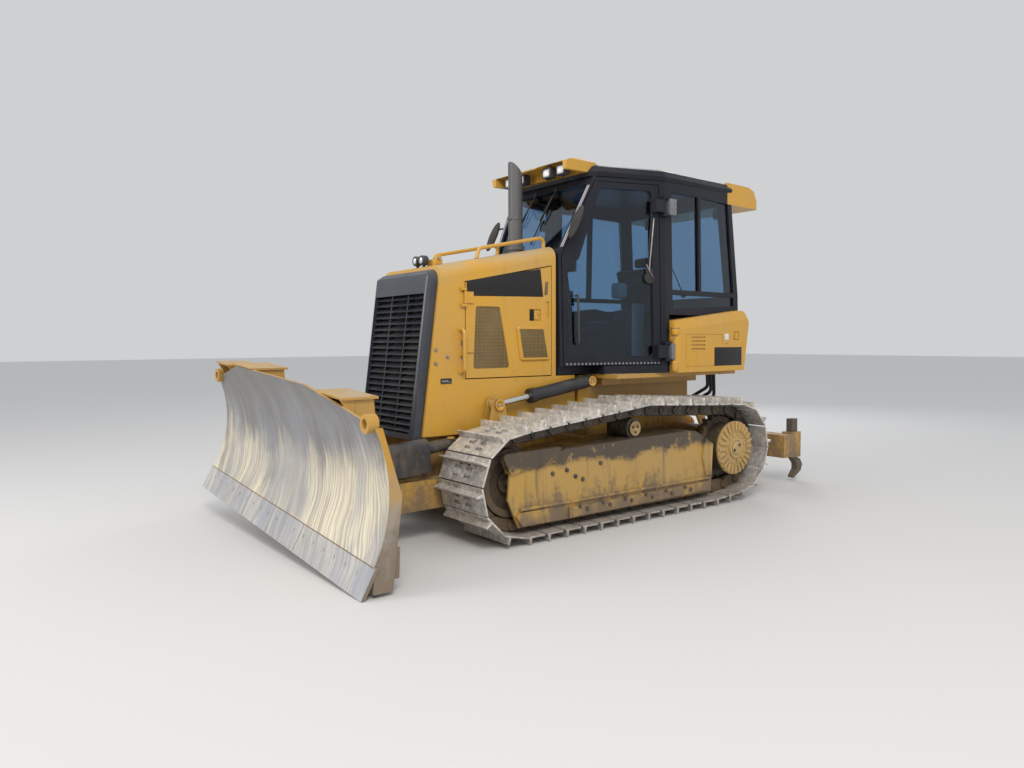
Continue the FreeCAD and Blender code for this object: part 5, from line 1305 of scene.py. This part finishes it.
def addSideBoxPieces():
    y = sideBox["y"]
    panel = sideSlab(sideBox["panel"], y - 0.001, 0.0022, "blank", 0.0006)
    plate = sideSlab(sideBox["plate"], y - 0.001, 0.0022, "whitePlate", 0.0006)
    latch = block((-1.458, y - 0.010, 1.362), (-1.402, y + 0.001, 1.413), "yellow", 0.003)
    hollowFace(latch, lambda centre, normal: normal.y > 0.95, 0.007, 0.003)
    lock = disc((-1.300, y + 0.002, 1.325), (0, 1, 0), 0.008, 0.008, "bolt", 16)
    px, py = sideBox["post"]
    post = [disc((px, py, 1.140), (0, 0, 1), 0.030, 0.085, "yellow", 24, 0.006),
            disc((px, py, 1.425), (0, 0, 1), 0.034, 0.070, "yellow", 24, 0.016),
            rod((px, py, 1.390), (px + 0.012, py - 0.05, 1.350), 0.012, "yellow")]
    keeper = [rod((-0.640, 0.752, 1.336), (-0.652, 0.785, 1.395), 0.0028, "bolt", 8),
              rod((-0.652, 0.785, 1.395), (px, py + 0.03, 1.452), 0.0028, "bolt", 8),
              ring((px, py, 1.448), (0, 0, 1), 0.035, 0.003, "bolt")]
    pair("side_box_fittings", [panel, plate, latch, lock] + post + keeper, "chassis", "chassis", "machine_yellow")


addSideBoxPieces()
print("side boxes dressed")

# Running gear: bolts on guards and covers, roller caps

gear = {
    "frameY": 0.9722,
    "railY": 0.9942,
    "frameBolts": ((0.376, 0.470), (0.620, 0.400), (0.550, 0.372), (0.830, 0.440), (0.700, 0.452)),
    "railBolts": (0.560, 0.335, 0.110, -0.115, -0.340, -0.565),
    "railZ": 0.176,
    "cover": (-1.180, 0.445),
    "coverY": 0.984,
    "coverBolts": 12,
    "carrier": (-0.060, 0.680),
    "carrierY": 0.9002,
}


def addGearPieces():
    places = [((x, gear["frameY"], z), (0, 1, 0)) for x, z in gear["frameBolts"]]
    places += [((x + offset, gear["railY"], gear["railZ"] + offset * 0.4), (0, 1, 0))
               for x in gear["railBolts"] for offset in (-0.035, 0.035)]
    pair("track_frame_bolts", boltsAt(places, 0.013, 0.012, "cast"), "chassis", "chassis", "cast_dark")
    x, z = gear["cover"]
    places = []
    for i in range(gear["coverBolts"]):
        turn = math.tau * (i + 0.5) / gear["coverBolts"]
        places.append(((x + 0.118 * math.cos(turn), gear["coverY"], z + 0.118 * math.sin(turn)), (0, 1, 0)))
    parts = boltsAt(places, 0.010, 0.009, "drive")
    parts.append(ring((x, gear["coverY"] + 0.001, z), (0, 1, 0), 0.136, 0.004, "drive", 40))
    parts.append(disc((x, gear["coverY"] + 0.021, z), (0, 1, 0), 0.058, 0.006, "drive", 32))
    parts += boltsAt([((x + 0.034, gear["coverY"] + 0.024, z - 0.016), (0, 1, 0)),
                      ((x - 0.030, gear["coverY"] + 0.024, z + 0.022), (0, 1, 0))], 0.011, 0.008, "cast")
    x, z = gear["carrier"]
    cap = disc((x, gear["carrierY"] + 0.001, z), (0, 1, 0), 0.056, 0.006, "drive", 32)
    hollowFace(cap, lambda centre, normal: normal.y > 0.95, 0.012, 0.003)
    parts.append(cap)
    parts += boltsAt([((x + 0.026 * math.cos(a), gear["carrierY"] + 0.002, z + 0.026 * math.sin(a)), (0, 1, 0))
                      for a in (0.5, 2.6, 4.7)], 0.008, 0.007, "cast")
    pair("drive_and_roller_caps", parts, "chassis", "chassis", "dusty_tan")


addGearPieces()
print("running gear dressed")

# Blade: bolts and joints of the cutting edge, caps on its lifting gear

bladeFrame = {"turn": -4.0, "pivotZ": 0.310, "lowZ": 0.0985, "edgeX": 2.480, "lean": 0.483}
edge = {"bolts": 18, "span": 1.310, "up": 0.105, "joints": (-0.465, 0.465), "lineUp": 0.1655, "thickness": 0.0012}


def onBlade(piece):
    # level piece turned to the tilt at which the blade rests
    turn = Matrix.Rotation(math.radians(bladeFrame["turn"]), 4, "X")
    pivot = Matrix.Translation((0, 0, bladeFrame["pivotZ"]))
    piece.data.transform(pivot @ turn @ pivot.inverted())
    return piece


def edgePoint(y, up, out=0.0):
    normal = Vector((1, 0, bladeFrame["lean"])).normalized()
    x = bladeFrame["edgeX"] - bladeFrame["lean"] * up
    return Vector((x, y, bladeFrame["lowZ"] + up)) + normal * out


def addBladePieces():
    normal = Vector((1, 0, bladeFrame["lean"]))
    places = []
    for i in range(edge["bolts"]):
        y = -edge["span"] + 2 * edge["span"] * (i + 0.5) / edge["bolts"]
        places.append((edgePoint(y, edge["up"], -0.002), normal))
    model = boltModel(0.013, 0.004, "edge")
    parts = copiesAt(model, places)
    for y in edge["joints"]:
        corners = [edgePoint(y - 0.0018, 0.004), edgePoint(y + 0.0018, 0.004), edgePoint(y + 0.0018, 0.160),
                   edgePoint(y - 0.0018, 0.160)]
        parts.append(slab(corners, normal.normalized() * edge["thickness"], "chain", 0.0003, 1))
    seam = [edgePoint(-1.385, 0.1605), edgePoint(1.385, 0.1605), edgePoint(1.378, 0.1650), edgePoint(-1.378, 0.1650)]
    parts.append(slab(seam, normal.normalized() * edge["thickness"], "rust", 0.0003, 1))
    for part in parts:
        onBlade(part)
    joined("cutting_edge_bolts", parts, "blade")


addBladePieces()

# Hydraulic cylinders: pin caps at both ends

pins = {
    "liftBase": (0.030, 0.522, 1.030),
    "liftEye": (0.950, 0.532, 0.890),
    "capRadius": 0.040,
}


def pinCap(centre, axis, radius, kind):
    centre, axis = Vector(centre), Vector(axis).normalized()
    plate = disc(centre + axis * 0.004, axis, radius, 0.008, kind, 28, 0.002)
    hollowFace(plate, lambda place, normal: normal.dot(axis) > 0.95, radius * 0.22, 0.002)
    side = axis.cross(Vector((0, 0, 1))) if abs(axis.z) < 0.9 else Vector((1, 0, 0))
    studs = [(centre + axis * 0.006 + side.normalized() * radius * share, axis) for share in (-0.42, 0.42)]
    return [plate] + boltsAt(studs, radius * 0.20, 0.007)


def addPinCaps():
    pair("lift_base_pin_caps", pinCap(pins["liftBase"], (0, 1, 0), pins["capRadius"], "yellow"), "chassis", "chassis",
         "machine_yellow")
    pair("lift_eye_pin_caps", pinCap(pins["liftEye"], (0, 1, 0), pins["capRadius"], "yellow"), "push_frame",
         "push_frame", "machine_yellow")


addPinCaps()
print("blade and cylinders dressed")

addedPieces = len(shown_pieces())
print("pieces so far:", addedPieces)

floorSize = 120.0
stage = {"floor": (0.62, 0.61, 0.60), "seen": (0.78, 0.79, 0.80), "sky": (0.93, 0.96, 1.0), "strength": 0.78}


def addStage():
    clearSelection()
    bpy.ops.mesh.primitive_plane_add(size=floorSize, location=(0, 0, 0))
    floor = bpy.context.object
    floor.name = "floor"
    material, tree, shader = startMaterial("paleFloor")
    shader.inputs["Base Color"].default_value = (*stage["floor"], 1.0)
    shader.inputs["Roughness"].default_value = 0.9
    floor.data.materials.append(material)
    world = bpy.data.worlds.new("studio")
    bpy.context.scene.world = world
    world.use_nodes = True
    tree = world.node_tree
    back = tree.nodes["Background"]
    rays = tree.nodes.new("ShaderNodeLightPath")
    seen = calc(tree, "MAXIMUM", rays.outputs["Is Camera Ray"], rays.outputs["Is Transmission Ray"])
    seen = calc(tree, "MAXIMUM", seen, rays.outputs["Is Glossy Ray"])
    tree.links.new(blendColour(tree, seen, stage["sky"], stage["seen"]), back.inputs["Color"])
    feed(tree, back.inputs["Strength"], spread(tree, seen, 0.0, 1.0, stage["strength"], 0.8))
    addLight("sunPanel", (4.5, 7.0, 8.0), (0, 0, 1.0), 4.0, 520, (1.0, 0.96, 0.90))
    addLight("frontPanel", (9.0, -1.5, 4.5), (0.5, 0, 1.0), 4.0, 240, (1.0, 0.98, 0.95))
    addLight("rearPanel", (-7.5, -5.0, 5.0), (0, 0, 1.2), 4.0, 150, (0.95, 0.97, 1.0))


addStage()
settings = bpy.context.scene.view_settings
settings.view_transform = "Standard"
